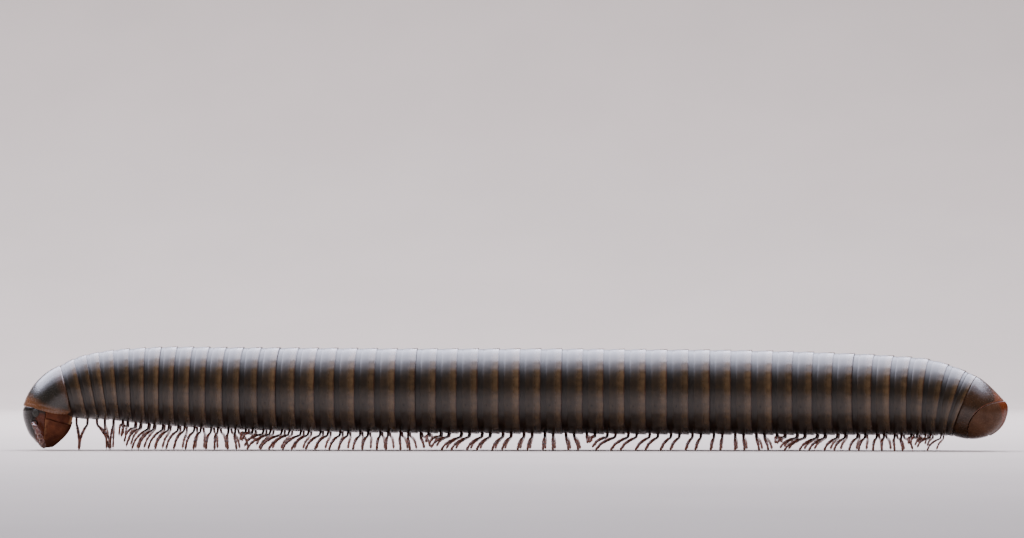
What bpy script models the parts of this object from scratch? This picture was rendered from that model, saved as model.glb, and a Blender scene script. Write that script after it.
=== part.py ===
"""A large round-backed millipede, life size and walking, as closed solids.

Metres, +Z up. The head points to -X, the animal's left side to -Y, and the feet stand on Z = 0.
Sizes below are in millimetres and degrees, and every mesh is scaled to metres when it is made.
"""

import math

import bmesh
import bpy
import numpy as np
from mathutils import Matrix, Vector

MM = 0.001
SEAM = 0.3  # gap between neighbouring plates

# Joints between body rings: number, x, height, half height, half width, lean of the top toward the head
SPINE = np.array(
    (
        (0, -68.22, 8.91, 4.26, 4.90, 14.0),
        (1, -66.19, 9.31, 4.83, 5.05, 13.5),
        (3, -62.73, 9.78, 5.32, 5.40, 8.5),
        (6, -56.24, 9.80, 5.93, 5.90, 1.0),
        (12, -41.20, 9.39, 6.36, 6.35, 0.0),
        (20, -17.61, 9.07, 6.52, 6.60, 0.0),
        (30, 13.91, 8.93, 6.57, 6.65, 0.0),
        (40, 45.90, 8.64, 6.37, 6.45, 0.0),
        (44, 57.86, 8.36, 6.07, 6.20, -1.0),
        (46, 62.93, 8.07, 5.82, 5.95, -4.0),
        (48, 67.32, 7.15, 5.13, 5.35, -16.4),
        (49, 68.56, 6.69, 4.89, 4.85, -22.2),
    )
)

# The bow of the whole body seen from above: x, slope of the middle line away from the animal's left
BOW = np.array(
    (
        (-67.0, 0.146),
        (-47.0, 0.0),
        (-36.0, -0.022),
        (-23.0, 0.0),
        (-5.0, 0.028),
        (8.0, 0.026),
        (32.0, 0.0),
        (62.0, -0.146),
        (67.7, -0.158),
    )
)
BOW_START = -1.42  # outward place of the middle line at the first of these

# Body rings
TRUNK_LENGTHS = 7
RINGS_PER_LENGTH = 7
RING_SIDES = 18
RING_PROFILE = ((0.0, 0.975), (0.3, 0.99), (0.95, 1.0))  # part of the ring, part of its full radius
BACK_POWER = 2.0
BELLY_POWER = 2.4  # above 2 the underside is flatter than a circle

# Legs: the foremost pairs feel about on their own, one to a ring, and the rest walk two pairs to a ring
# Foremost pairs: place counted in rings, reach of the foot behind its root, spread as a part of the others'
FRONT_PAIRS = ((0.15, 0.5, 0.78), (0.95, -1.4, 1.0), (1.75, 2.1, 0.82), (2.6, 0.5, 1.0), (3.4, -0.3, 0.9))
DOUBLE_PAIR_RINGS = range(4, 47)
DOUBLE_PAIR_PLACES = (0.17, 0.56)
HINDMOST_PAIR = 47.5
# Points along a leg: part of the half width outward, part of the belly's height, part of the reach and of
# the lift that it follows, half thickness
LEG_POINTS = (
    (0.18, 1.00, 0.00, 0.00, 0.27),
    (0.36, 0.84, 0.05, 0.00, 0.27),
    (0.85, 0.68, 0.38, 0.45, 0.27),
    (1.05, 0.40, 0.76, 0.80, 0.25),
    (1.14, 0.00, 1.00, 1.00, 0.17),
)
ROOT_DEPTH = 1.0  # how far a leg starts inside the belly
FULL_LEG_ROOM = 2.7  # where a ring's underside is shorter, its legs are slimmer and step less far

# The walking wave: where along the body a run of legs has just left the floor
WAVE_FRONTS = (-80.0, -61.6, -42.2, -14.1, 10.3, 39.0, 59.7, 80.0)
SWING_LENGTH = 5.2  # length of the body whose legs are in the air
STRIDE_BACK = 1.0  # the foot's furthest place behind its root
STRIDE_AHEAD = 3.1
LIFT_PART = 0.5  # height of the highest foot, as a part of the belly's
LIFT_EARLY = 0.6  # below 1 the foot rises sooner than it comes down

# Collum, the shield behind the head
COLLUM_LEANS = (14.0, 23.0, 33.0, 43.0, 53.0, 63.0, 70.0)
COLLUM_REACH_REAR = 8.5
COLLUM_REACH_FRONT = 7.85
COLLUM_WIDTH_REAR = 5.1
COLLUM_WIDTH_FRONT = 4.7
COLLUM_HINGE = 1.0  # radius left off at the turning point of the wedge

# Head, in level slices: height, front, rear, half width
HEAD_SLICES = np.array(
    (
        (0.25, -72.00, -70.80, 1.70),
        (0.70, -72.45, -70.10, 2.30),
        (1.45, -73.25, -69.20, 3.00),
        (2.40, -73.95, -68.30, 3.60),
        (3.90, -74.60, -67.55, 4.15),
        (5.50, -74.90, -67.50, 4.40),
        (8.20, -75.00, -67.50, 4.40),
    )
)
HEAD_LEVELS = (0.25, 0.7, 1.4, 2.3, 3.3, 4.4, 5.6, 6.9, 8.2)
HEAD_SIDES = 20
FACE_POWER = 2.2
NAPE_POWER = 2.6
CHEEK_SEAM_LOW = (-72.0, 0.3)
CHEEK_SEAM_HIGH = (-71.4, 6.9)
THROAT_HALF_WIDTH = 1.6

# Eyes
EYE_CENTRE = (-72.95, 3.72, 5.75)
EYE_RADII = (0.5, 0.42, 0.6)
EYE_SEGMENTS = 10

# Antennae: x, outward, height, half thickness at the ends of the joints
ANTENNA_POINTS = np.array(
    (
        (-73.05, 3.50, 4.20, 0.32),
        (-73.20, 4.35, 3.95, 0.36),
        (-72.85, 4.80, 3.35, 0.38),
        (-72.50, 4.88, 2.55, 0.38),
        (-72.20, 4.80, 1.85, 0.37),
        (-71.95, 4.62, 1.20, 0.35),
        (-71.72, 4.45, 0.70, 0.33),
        (-71.62, 4.36, 0.38, 0.22),
    )
)
ANTENNA_WAIST = 0.72  # thickness at each joint, as a part of the segment's
ANTENNA_SWELL_PLACE = 0.55  # where a segment is thickest, as a part of its length
ANTENNA_SIDES = 6
SOCKET_RADIUS = 0.72
SOCKET_SEGMENTS = 8

# Tail segment, about an axis that slopes down from its start just behind the last joint's middle
TAIL_START = (68.77, 6.67)
TAIL_SLOPE = 16.0
TAIL_LENGTH = 6.12
TAIL_RISE = 4.93
TAIL_DROP = 4.78
TAIL_HALF_WIDTH = 4.75
TAIL_CREST_FALL = 0.634  # the part of its rise that the crest has lost at the tip
TAIL_CREST_POWER = 1.355
TAIL_TIP_POWER = 24  # the higher, the later and blunter the tip closes
TAIL_TIP_ROOT = 3
TAIL_SIDE_POWER = 2.6
TAIL_SLICES = (-0.27, -0.1, 0.12, 0.32, 0.5, 0.66, 0.79, 0.88, 0.945, 0.985)  # parts of its length
TAIL_SIDES = 20
VALVE_CENTRE = (7.1, -2.9)
VALVE_RADIUS = 5.65
VALVE_DRUM_SIDES = 40
SCALE_LEVEL = -3.25

# How the meshes are made
SMOOTH_ANGLE = 32.0  # edges that turn more than this stay sharp
CUT_TOLERANCE = 1e-8  # metres


def smooth(stations, at):
    """Rows of the station table at the given places, on cubic spans whose slopes join smoothly.

    The table's first column holds the places. Each inner slope is the mean of the two neighbouring
    spans' slopes, weighted toward the shorter span.
    """
    at = np.atleast_1d(np.asarray(at, float))
    places, rows = stations[:, 0], stations[:, 1:]
    spans = np.diff(places)[:, None]
    secants = np.diff(rows, axis=0) / spans
    inner = (spans[:-1] * secants[1:] + spans[1:] * secants[:-1]) / (spans[:-1] + spans[1:])
    slopes = np.vstack((secants[:1], inner, secants[-1:]))
    index = np.clip(np.searchsorted(places, at, side="right") - 1, 0, len(spans) - 1)
    span = spans[index]
    part = (at - places[index])[:, None] / span
    rest = 1 - part
    starts = rows[index] * (1 + 2 * part) * rest**2 + slopes[index] * span * part * rest**2
    ends = rows[index + 1] * (3 - 2 * part) * part**2 - slopes[index + 1] * span * part**2 * rest
    return starts + ends


def leaning(lean):
    """The unit direction that is upright at 0 degrees and tips toward the head as the angle grows."""
    return np.array((-math.sin(math.radians(lean)), 0.0, math.cos(math.radians(lean))))


def powered(values, power):
    return np.sign(values) * np.abs(values) ** (2 / power)


def section(centre, up, half_height, half_width, sides, up_power, down_power):
    """A closed outline about the centre, in the plane of Y and the up direction, from its top round by +Y."""
    turn = np.linspace(0, 2 * math.pi, sides, endpoint=False)
    power = np.where(np.cos(turn) < 0, down_power, up_power)
    rise = half_height * powered(np.cos(turn), power)
    outward = half_width * powered(np.sin(turn), power)
    return np.asarray(centre) + rise[:, None] * up + outward[:, None] * np.array((0.0, 1.0, 0.0))


def loft(rows):
    """A closed bmesh through the outlines in order, each end capped, in metres."""
    mesh = bmesh.new()
    loops = [[mesh.verts.new(Vector(point) * MM) for point in row] for row in rows]
    for low, high in zip(loops, loops[1:]):
        for i, vertex in enumerate(low):
            after = (i + 1) % len(low)
            mesh.faces.new((vertex, low[after], high[after], high[i]))
    mesh.faces.new(loops[0][::-1])
    mesh.faces.new(loops[-1])
    bmesh.ops.recalc_face_normals(mesh, faces=mesh.faces)
    return mesh


def keep_behind(mesh, point, direction):
    """Cuts the closed mesh by a plane, drops what lies ahead of it in the direction and closes the cut."""
    everything = mesh.verts[:] + mesh.edges[:] + mesh.faces[:]
    cut = bmesh.ops.bisect_plane(
        mesh,
        geom=everything,
        dist=CUT_TOLERANCE,
        plane_co=Vector(point) * MM,
        plane_no=Vector(direction),
        clear_outer=True,
    )
    rim = [item for item in cut["geom_cut"] if isinstance(item, bmesh.types.BMEdge)]
    bmesh.ops.edgeloop_fill(mesh, edges=rim)
    bmesh.ops.recalc_face_normals(mesh, faces=mesh.faces)
    return mesh


def colour_of(name, colour, roughness):
    material = bpy.data.materials.new(name)
    material.use_nodes = True
    shader = material.node_tree.nodes["Principled BSDF"]
    shader.inputs["Base Color"].default_value = (*colour, 1.0)
    shader.inputs["Roughness"].default_value = roughness
    shader.inputs["Metallic"].default_value = 0.0
    return material


def shade(data):
    data.shade_smooth()
    data.set_sharp_from_angle(angle=math.radians(SMOOTH_ANGLE))


def solid(name, mesh, origin, material, parent):
    """The node of this name, with its own origin in millimetres, from a bmesh in world space."""
    place = Vector(origin) * MM
    mesh.transform(Matrix.Translation(-place))
    data = bpy.data.meshes.new(name)
    mesh.to_mesh(data)
    mesh.free()
    data.materials.append(material)
    shade(data)
    node = bpy.data.objects.new(name, data)
    node.location = place
    node.parent = parent
    bpy.context.scene.collection.objects.link(node)
    return node


def helper(name, mesh):
    """A temporary object in world space, for a Boolean."""
    data = bpy.data.meshes.new(name)
    mesh.to_mesh(data)
    mesh.free()
    tool = bpy.data.objects.new(name, data)
    tool.hide_render = True
    tool.display_type = "WIRE"
    bpy.context.scene.collection.objects.link(tool)
    return tool


def remove(tool):
    data = tool.data
    bpy.data.objects.remove(tool)
    bpy.data.meshes.remove(data)


def shells(mesh):
    """The closed surfaces of a bmesh, as lists of faces. Two that only touch along an edge are separate."""
    found = []
    left = set(mesh.faces)
    while left:
        shell = []
        waiting = [left.pop()]
        while waiting:
            face = waiting.pop()
            shell.append(face)
            joined = [edge for edge in face.edges if len(edge.link_faces) == 2]
            near = {other for edge in joined for other in edge.link_faces} & left
            left -= near
            waiting.extend(near)
        found.append(shell)
    return found


def keep_largest(mesh):
    """Drops every closed surface but the one with the most faces."""
    parts = sorted(shells(mesh), key=len)
    spare = [face for part in parts[:-1] for face in part]
    bmesh.ops.delete(mesh, geom=spare, context="FACES")


def apply_modifiers(node):
    """Bakes the node's Booleans into its mesh and keeps only the largest closed surface."""
    bpy.context.view_layer.update()
    graph = bpy.context.evaluated_depsgraph_get()
    mesh = bmesh.new()
    mesh.from_object(node, graph)
    node.modifiers.clear()
    keep_largest(mesh)
    mesh.to_mesh(node.data)
    mesh.free()
    shade(node.data)


def combine(node, operation, tool):
    """Cuts the tool out of the node (DIFFERENCE) or keeps only what lies inside it (INTERSECT)."""
    modifier = node.modifiers.new("shape", "BOOLEAN")
    modifier.operation = operation
    modifier.solver = "EXACT"
    modifier.object = tool
    apply_modifiers(node)
    remove(tool)


def fuse(node, tools):
    """Joins the closed meshes to the node by one union."""
    group = bpy.data.collections.new(node.name + " roots")
    for tool in tools:
        group.objects.link(tool)
    modifier = node.modifiers.new("fuse", "BOOLEAN")
    modifier.operation = "UNION"
    modifier.solver = "EXACT"
    modifier.operand_type = "COLLECTION"
    modifier.collection = group
    apply_modifiers(node)
    for tool in tools:
        remove(tool)
    bpy.data.collections.remove(group)


def ring_outline(joint, swell):
    """The body's outline at a place counted in rings, its radius scaled by the swell."""
    x, height, half_height, half_width, lean = smooth(SPINE, joint)[0]
    centre = (x, 0.0, height)
    up = leaning(lean)
    return section(
        centre, up, half_height * swell, half_width * swell, RING_SIDES, BACK_POWER, BELLY_POWER
    )


def ring_length(ring):
    near, far = smooth(SPINE, (ring, ring + 1))[:, 0]
    return far - near


def trunk_shell(first):
    """The bare rings of one length of the trunk, each stepping down into the next one's groove."""
    last = first + RINGS_PER_LENGTH
    places = [
        (ring + part, swell) for ring in range(first, last) for part, swell in RING_PROFILE
    ]
    places[0] = (first + SEAM / 2 / ring_length(first), RING_PROFILE[0][1])
    places.append((last - SEAM / 2 / ring_length(last - 1), RING_PROFILE[0][1]))
    return loft([ring_outline(joint, swell) for joint, swell in places])


def gait(root):
    """How far behind its root the foot is set, and how high it is lifted, for a leg rooted at the point."""
    wave = int(np.searchsorted(WAVE_FRONTS, root[0], side="right")) - 1
    landed = WAVE_FRONTS[wave] + SWING_LENGTH
    stride = STRIDE_BACK + STRIDE_AHEAD
    if root[0] < landed:
        part = (root[0] - WAVE_FRONTS[wave]) / SWING_LENGTH
        lift = LIFT_PART * root[2] * math.sin(math.pi * part**LIFT_EARLY)
        return STRIDE_BACK - stride * part, lift
    part = (root[0] - landed) / (WAVE_FRONTS[wave + 1] - landed)
    return stride * part - STRIDE_AHEAD, 0.0


def leg(joint, side, reach, lift, spread):
    """A closed four-sided leg that starts inside the belly and ends in a level foot."""
    half_width = smooth(SPINE, joint)[0, 3]
    belly = belly_point(joint)
    points = []
    for outward, rise, follow, raised, _ in LEG_POINTS:
        points.append(
            (
                belly[0] + follow * reach,
                side * spread * outward * half_width,
                belly[2] * rise + raised * lift,
            )
        )
    points = np.array(points)
    points[0, 2] += ROOT_DEPTH
    along = np.gradient(points, axis=0)
    along /= np.linalg.norm(along, axis=1)[:, None]
    along[-1] = (0.0, 0.0, -1.0)
    rows = []
    for point, direction, station in zip(points, along, LEG_POINTS):
        fore = np.array((1.0, 0.0, 0.0)) - direction[0] * direction
        fore /= np.linalg.norm(fore)
        across = np.cross(direction, fore)
        thick = station[4] * slimness(int(joint))
        corners = ((-1, -1), (-1, 1), (1, 1), (1, -1))
        rows.append([point + thick * (a * fore + b * across) for a, b in corners])
    return loft(rows)


def belly_point(joint):
    """The lowest point of the body's outline at a place counted in rings."""
    x, height, half_height, _, lean = smooth(SPINE, joint)[0]
    return np.array((x, 0.0, height)) - half_height * leaning(lean)


def slimness(ring):
    """How slim the legs of a ring are: the square root of its underside's length over a full-grown one's."""
    room = belly_point(ring + 1)[0] - belly_point(ring)[0]
    return min(1.0, math.sqrt(room / FULL_LEG_ROOM))


def leg_pairs():
    """Each pair's place along the trunk, counted in rings, with the foot's reach, lift and spread."""
    for joint, reach, spread in FRONT_PAIRS:
        yield joint, reach, 0.0, spread
    walking = [ring + part for ring in DOUBLE_PAIR_RINGS for part in DOUBLE_PAIR_PLACES]
    for joint in (*walking, HINDMOST_PAIR):
        reach, lift = gait(belly_point(joint))
        yield joint, reach * slimness(int(joint)) ** 2, lift, 1.0


def trunk_length(number, material, parent):
    """One length of seven rings with the legs that it carries, as one closed body."""
    first = number * RINGS_PER_LENGTH
    last = first + RINGS_PER_LENGTH
    origin = smooth(SPINE, first)[0]
    node = solid(
        f"trunk_{number + 1}", trunk_shell(first), (origin[0], 0.0, origin[1]), material, parent
    )
    legs = []
    for joint, reach, lift, spread in leg_pairs():
        if not first <= joint < last:
            continue
        for side in (-1, 1):
            legs.append(helper("leg", leg(joint, side, reach, lift, spread)))
    fuse(node, legs)


def hinge():
    """The lowest point of the first joint, half a seam toward the head: the collum turns about it."""
    return belly_point(0) + SEAM / 2 * leaning(COLLUM_LEANS[0] + 90)


def collum(material, parent):
    """The wedge-shaped neck shield, swept about the hinge from the first joint down to the head."""
    pivot = hinge()
    rear, front = COLLUM_LEANS[0], COLLUM_LEANS[-1]
    rows = []
    for lean in COLLUM_LEANS:
        part = (lean - rear) / (front - rear)
        reach = COLLUM_REACH_REAR + (COLLUM_REACH_FRONT - COLLUM_REACH_REAR) * part * (2 - part)
        width = COLLUM_WIDTH_REAR + (COLLUM_WIDTH_FRONT - COLLUM_WIDTH_REAR) * part
        up = leaning(lean)
        row = section(
            pivot + up * reach / 2, up, reach / 2, width, RING_SIDES, BACK_POWER, BELLY_POWER
        )
        short = np.maximum(0.0, COLLUM_HINGE - (row - pivot) @ up)
        rows.append(row + short[:, None] * up)
    solid("collum", loft(rows), pivot, material, parent)


def whole_head():
    """The head before it is parted: level slices from the mouth up to the collum's front face."""
    rows = []
    for level in HEAD_LEVELS:
        front, rear, half_width = smooth(HEAD_SLICES, level)[0]
        centre = ((front + rear) / 2, 0.0, level)
        forward = np.array((-1.0, 0.0, 0.0))
        rows.append(
            section(
                centre, forward, (rear - front) / 2, half_width, HEAD_SIDES, FACE_POWER, NAPE_POWER
            )
        )
    mesh = loft(rows)
    face = leaning(COLLUM_LEANS[-1])
    off_face = leaning(COLLUM_LEANS[-1] - 90)
    touching = hinge() - SEAM * off_face
    return keep_behind(mesh, touching + face, off_face)


def head_parts(skin, cheek_skin, parent):
    """The face capsule, a cheek on each side and the throat plate between them."""
    low = np.array((CHEEK_SEAM_LOW[0], 0.0, CHEEK_SEAM_LOW[1]))
    high = np.array((CHEEK_SEAM_HIGH[0], 0.0, CHEEK_SEAM_HIGH[1]))
    rise = (high - low) / np.linalg.norm(high - low)
    rearward = np.array((rise[2], 0.0, -rise[0]))
    half = SEAM / 2
    capsule = keep_behind(whole_head(), low - half * rearward, rearward)
    head = solid("head", capsule, high, skin, parent)
    outward = np.array((0.0, 1.0, 0.0))
    for side, name in ((-1, "mandible_left"), (1, "mandible_right")):
        cheek = keep_behind(whole_head(), low + half * rearward, -rearward)
        keep_behind(cheek, side * (THROAT_HALF_WIDTH + half) * outward, -side * outward)
        solid(name, cheek, high, cheek_skin, parent)
    throat = keep_behind(whole_head(), low + half * rearward, -rearward)
    for side in (-1, 1):
        keep_behind(throat, side * (THROAT_HALF_WIDTH - half) * outward, side * outward)
    solid("gnathochilarium", throat, high, cheek_skin, parent)
    return head


def ball(centre, radii, segments):
    """A closed ellipsoid in world space."""
    mesh = bmesh.new()
    bmesh.ops.create_uvsphere(mesh, u_segments=segments, v_segments=segments // 2 + 1, radius=1.0)
    scale = Matrix.Diagonal((*(Vector(radii) * MM), 1.0))
    mesh.transform(Matrix.Translation(Vector(centre) * MM) @ scale)
    return mesh


def eyes(head, material, parent):
    """An oval eye on each side of the face, in a pocket cut a little wider than itself."""
    x, outward, height = EYE_CENTRE
    for side, name in ((-1, "eye_left"), (1, "eye_right")):
        centre = (x, side * outward, height)
        wide = [radius + SEAM for radius in EYE_RADII]
        combine(head, "DIFFERENCE", helper("eye pocket", ball(centre, wide, EYE_SEGMENTS)))
        solid(name, ball(centre, EYE_RADII, EYE_SEGMENTS), centre, material, parent)


def antenna_rows(side):
    """Outlines along the antenna: each segment swells from a narrow joint and closes at the next."""
    points = ANTENNA_POINTS[:, :3] * (1, side, 1)
    thick = ANTENNA_POINTS[:, 3]
    along = np.gradient(points, axis=0)
    along /= np.linalg.norm(along, axis=1)[:, None]
    places = [(points[0], along[0], thick[0])]
    for i in range(len(points) - 1):
        for part, share in ((ANTENNA_SWELL_PLACE, 1.0), (1.0, ANTENNA_WAIST)):
            point = points[i] + (points[i + 1] - points[i]) * part
            direction = along[i] + (along[i + 1] - along[i]) * part
            places.append((point, direction, (thick[i] + (thick[i + 1] - thick[i]) * part) * share))
    turn = np.linspace(0, 2 * math.pi, ANTENNA_SIDES, endpoint=False)
    rows = []
    for point, direction, radius in places:
        fore = np.array((1.0, 0.0, 0.0)) - direction[0] * direction
        fore /= np.linalg.norm(fore)
        across = np.cross(direction, fore)
        rows.append([point + radius * (math.cos(t) * fore + math.sin(t) * across) for t in turn])
    return rows


def antennae(head, material, parent):
    """A jointed antenna from a round socket on each side of the face, hanging beside the cheek."""
    x, outward, height, _ = ANTENNA_POINTS[0]
    for side, name in ((-1, "antenna_left"), (1, "antenna_right")):
        root = (x, side * outward, height)
        socket = ball(root, (SOCKET_RADIUS,) * 3, SOCKET_SEGMENTS)
        combine(head, "DIFFERENCE", helper("socket", socket))
        solid(name, loft(antenna_rows(side)), root, material, parent)


def tail_axes():
    """The tail's start, the direction along its axis and the one upright to it."""
    up = leaning(-TAIL_SLOPE)
    along = np.array((up[2], 0.0, -up[0]))
    return np.array((TAIL_START[0], 0.0, TAIL_START[1])), along, up


def whole_tail():
    """The tail segment before it is parted, cut off half a seam behind the last joint."""
    start, along, up = tail_axes()
    rows = []
    for part in TAIL_SLICES:
        forward_part = max(part, 0.0)
        closing = (1 - forward_part**TAIL_TIP_POWER) ** (1 / TAIL_TIP_ROOT)
        rise = TAIL_RISE * (1 - TAIL_CREST_FALL * forward_part**TAIL_CREST_POWER) * closing
        drop = TAIL_DROP * math.sqrt(1 - forward_part**2)
        width = TAIL_HALF_WIDTH * math.sqrt(1 - forward_part**TAIL_SIDE_POWER)
        centre = start + along * part * TAIL_LENGTH + up * (rise - drop) / 2
        rows.append(
            section(centre, up, (rise + drop) / 2, width, TAIL_SIDES, BACK_POWER, BACK_POWER)
        )
    x, height, _, _, lean = SPINE[-1, 1:]
    ahead = leaning(lean + 90)
    last_joint = np.array((x, 0.0, height))
    return keep_behind(loft(rows), last_joint - SEAM / 2 * ahead, ahead)


def valve_drum(radius):
    """A drum across the body whose round face parts the anal valves from the ring around them."""
    start, along, up = tail_axes()
    centre = start + along * VALVE_CENTRE[0] + up * VALVE_CENTRE[1]
    mesh = bmesh.new()
    bmesh.ops.create_cone(
        mesh,
        cap_ends=True,
        segments=VALVE_DRUM_SIDES,
        radius1=radius * MM,
        radius2=radius * MM,
        depth=4 * TAIL_HALF_WIDTH * MM,
    )
    mesh.transform(Matrix.Translation(Vector(centre) * MM) @ Matrix.Rotation(math.pi / 2, 4, "X"))
    return helper("valve drum", mesh)


def tail_parts(material, valve_skin, parent):
    """The ring with its dorsal point, the two valves that close it and the scale below them."""
    start, _, up = tail_axes()
    half = SEAM / 2
    telson = solid("telson", whole_tail(), start, material, parent)
    combine(telson, "DIFFERENCE", valve_drum(VALVE_RADIUS + half))
    outward = np.array((0.0, 1.0, 0.0))
    above_scale = start + up * (SCALE_LEVEL + half)
    below_valves = start + up * (SCALE_LEVEL - half)
    for side, name in ((-1, "anal_valve_left"), (1, "anal_valve_right")):
        mesh = keep_behind(whole_tail(), side * half * outward, -side * outward)
        keep_behind(mesh, above_scale, -up)
        valve = solid(name, mesh, start, valve_skin, parent)
        combine(valve, "INTERSECT", valve_drum(VALVE_RADIUS - half))
    scale = solid("hypoproct", keep_behind(whole_tail(), below_valves, up), start, valve_skin, parent)
    combine(scale, "INTERSECT", valve_drum(VALVE_RADIUS - half))


def middle_line(x):
    """Outward place and slope of the bowed middle line at the places x. Past its ends it runs straight on."""
    places, slopes = BOW[:, 0], BOW[:, 1]
    steps = np.diff(places) * (slopes[:-1] + slopes[1:]) / 2
    offsets = BOW_START + np.concatenate(([0.0], np.cumsum(steps)))
    index = np.clip(np.searchsorted(places, x, side="right") - 1, 0, len(places) - 1)
    slope = np.interp(x, places, slopes)
    return offsets[index] + (x - places[index]) * (slopes[index] + slope) / 2, slope


def bowed(points):
    """Points of the straight body, in metres, carried by the upright slices they lie in as it bows."""
    offset, slope = middle_line(points[:, 0] / MM)
    stretch = np.sqrt(1 + slope**2)
    x = points[:, 0] - points[:, 1] * slope / stretch
    outward = offset * MM + points[:, 1] / stretch
    return np.column_stack((x, outward, points[:, 2]))


def bow_body(body):
    """Bows every node on the body, with its origin, in the level plane."""
    for node in body.children:
        points = np.empty(len(node.data.vertices) * 3)
        node.data.vertices.foreach_get("co", points)
        old_place = np.array(node.location)
        new_place = bowed(old_place[None, :])[0]
        points = bowed(points.reshape(-1, 3) + old_place) - new_place
        node.data.vertices.foreach_set("co", points.ravel())
        node.data.update()
        node.location = new_place


def main():
    for thing in list(bpy.data.objects):
        bpy.data.objects.remove(thing)
    body = bpy.data.objects.new("millipede", None)
    bpy.context.scene.collection.objects.link(body)
    ring_skin = colour_of("ring chitin", (0.020, 0.014, 0.010), 0.25)
    shield_skin = colour_of("collum chitin", (0.030, 0.024, 0.020), 0.25)
    face_skin = colour_of("face chitin", (0.018, 0.015, 0.014), 0.25)
    cheek_skin = colour_of("cheek chitin", (0.070, 0.020, 0.009), 0.30)
    eye_skin = colour_of("eye", (0.010, 0.009, 0.009), 0.15)
    antenna_skin = colour_of("antenna chitin", (0.080, 0.030, 0.022), 0.30)
    tail_skin = colour_of("tail chitin", (0.050, 0.024, 0.013), 0.25)
    valve_skin = colour_of("valve chitin", (0.080, 0.042, 0.028), 0.30)
    for number in range(TRUNK_LENGTHS):
        trunk_length(number, ring_skin, body)
    collum(shield_skin, body)
    head = head_parts(face_skin, cheek_skin, body)
    eyes(head, eye_skin, body)
    antennae(head, antenna_skin, body)
    tail_parts(tail_skin, valve_skin, body)
    bow_body(body)


if __name__ == "__main__":
    main()
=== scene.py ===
"""The finished look of a large round-backed millipede, life size and walking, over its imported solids.

World metres, +Z up. The head points to -X, and the animal's left side, which the camera sees, to -Y.
The animal's shapes are worked out in millimetres, and scaled to metres when their mesh is made.
"""

import logging
import math
from dataclasses import dataclass, field
from enum import Enum
from typing import Any, Callable

import bpy
import numpy as np
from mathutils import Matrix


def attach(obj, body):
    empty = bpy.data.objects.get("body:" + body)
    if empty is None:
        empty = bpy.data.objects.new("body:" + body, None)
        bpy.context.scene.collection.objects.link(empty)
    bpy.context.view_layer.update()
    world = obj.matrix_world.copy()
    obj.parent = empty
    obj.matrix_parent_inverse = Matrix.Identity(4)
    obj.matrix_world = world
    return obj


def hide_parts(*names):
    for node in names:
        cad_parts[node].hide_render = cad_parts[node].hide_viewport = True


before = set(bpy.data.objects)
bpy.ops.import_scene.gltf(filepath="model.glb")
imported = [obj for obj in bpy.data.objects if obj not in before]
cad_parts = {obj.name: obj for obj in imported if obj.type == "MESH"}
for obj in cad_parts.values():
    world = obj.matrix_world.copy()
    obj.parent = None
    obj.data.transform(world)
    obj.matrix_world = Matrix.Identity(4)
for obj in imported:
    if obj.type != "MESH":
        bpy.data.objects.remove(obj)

Array = np.ndarray
Colour = tuple[float, float, float]
Pair = tuple[float, float]
Socket = bpy.types.NodeSocket
Inputs = dict[str | int, object]

MM = 0.001
LOG = logging.getLogger("millipede")
LENGTHWISE = np.array((1.0, 0.0, 0.0))
ACROSS = np.array((0.0, 1.0, 0.0))

# The bow of the whole body seen from above: x, slope of the middle line away from the animal's left
BOW_STATIONS = np.array(
    (
        (-67.0, 0.146),
        (-47.0, 0.0),
        (-36.0, -0.022),
        (-23.0, 0.0),
        (-5.0, 0.028),
        (8.0, 0.026),
        (32.0, 0.0),
        (62.0, -0.146),
        (67.7, -0.158),
    )
)
BOW_START = -1.42
RING_COUNT = 49
RINGS_PER_LENGTH = 7
SEAM = 0.3
BACK_POWER = 2.0
BELLY_POWER = 2.4
CHITIN_IOR = 1.56
COAT_ROUGHNESS = 0.12


class Side(Enum):
    """A side of the animal, as the sign of Y on it."""

    LEFT = -1
    RIGHT = 1

    @property
    def label(self) -> str:
        """The side's word in the names of pieces and nodes."""
        return self.name.lower()

    @property
    def mirror(self) -> Array:
        """What a point of the +Y side is multiplied by to lie on this one."""
        return np.array((1.0, self.value, 1.0))


class Slot(Enum):
    """The record's material slots."""

    RING = "ring_chitin"
    COLLUM = "collum_chitin"
    FACE = "face_chitin"
    CHEEK = "cheek_chitin"
    EYE = "eye"
    ANTENNA = "antenna_chitin"
    TAIL = "tail_chitin"
    VALVE = "valve_chitin"


def table(*rows: tuple[float, ...]) -> Any:
    """A dataclass field that holds those rows as an array."""
    return field(default_factory=lambda: np.array(rows))


def smooth(stations: Array, at: Array) -> Array:
    """Reads a table at the given places, on cubic spans whose slopes join smoothly.

    Each inner slope is the mean of the two neighbouring spans' slopes, weighted toward the shorter span.

    Args:
        stations: Rows of place and values, by rising place.
        at: Places to read, of any shape.

    Returns:
        The values at those places, with the values' axis first.
    """
    places, rows = stations[:, 0], stations[:, 1:]
    spans = np.diff(places)[:, None]
    secants = np.diff(rows, axis=0) / spans
    inner = (spans[:-1] * secants[1:] + spans[1:] * secants[:-1]) / (spans[:-1] + spans[1:])
    slopes = np.vstack((secants[:1], inner, secants[-1:]))
    index = np.clip(np.searchsorted(places, at, side="right") - 1, 0, len(spans) - 1)
    span = spans[index]
    part = (np.asarray(at, float) - places[index])[..., None] / span
    rest = 1 - part
    starts = rows[index] * (1 + 2 * part) * rest**2 + slopes[index] * span * part * rest**2
    ends = rows[index + 1] * (3 - 2 * part) * part**2 - slopes[index + 1] * span * part**2 * rest
    return np.moveaxis(starts + ends, -1, 0)


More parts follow.
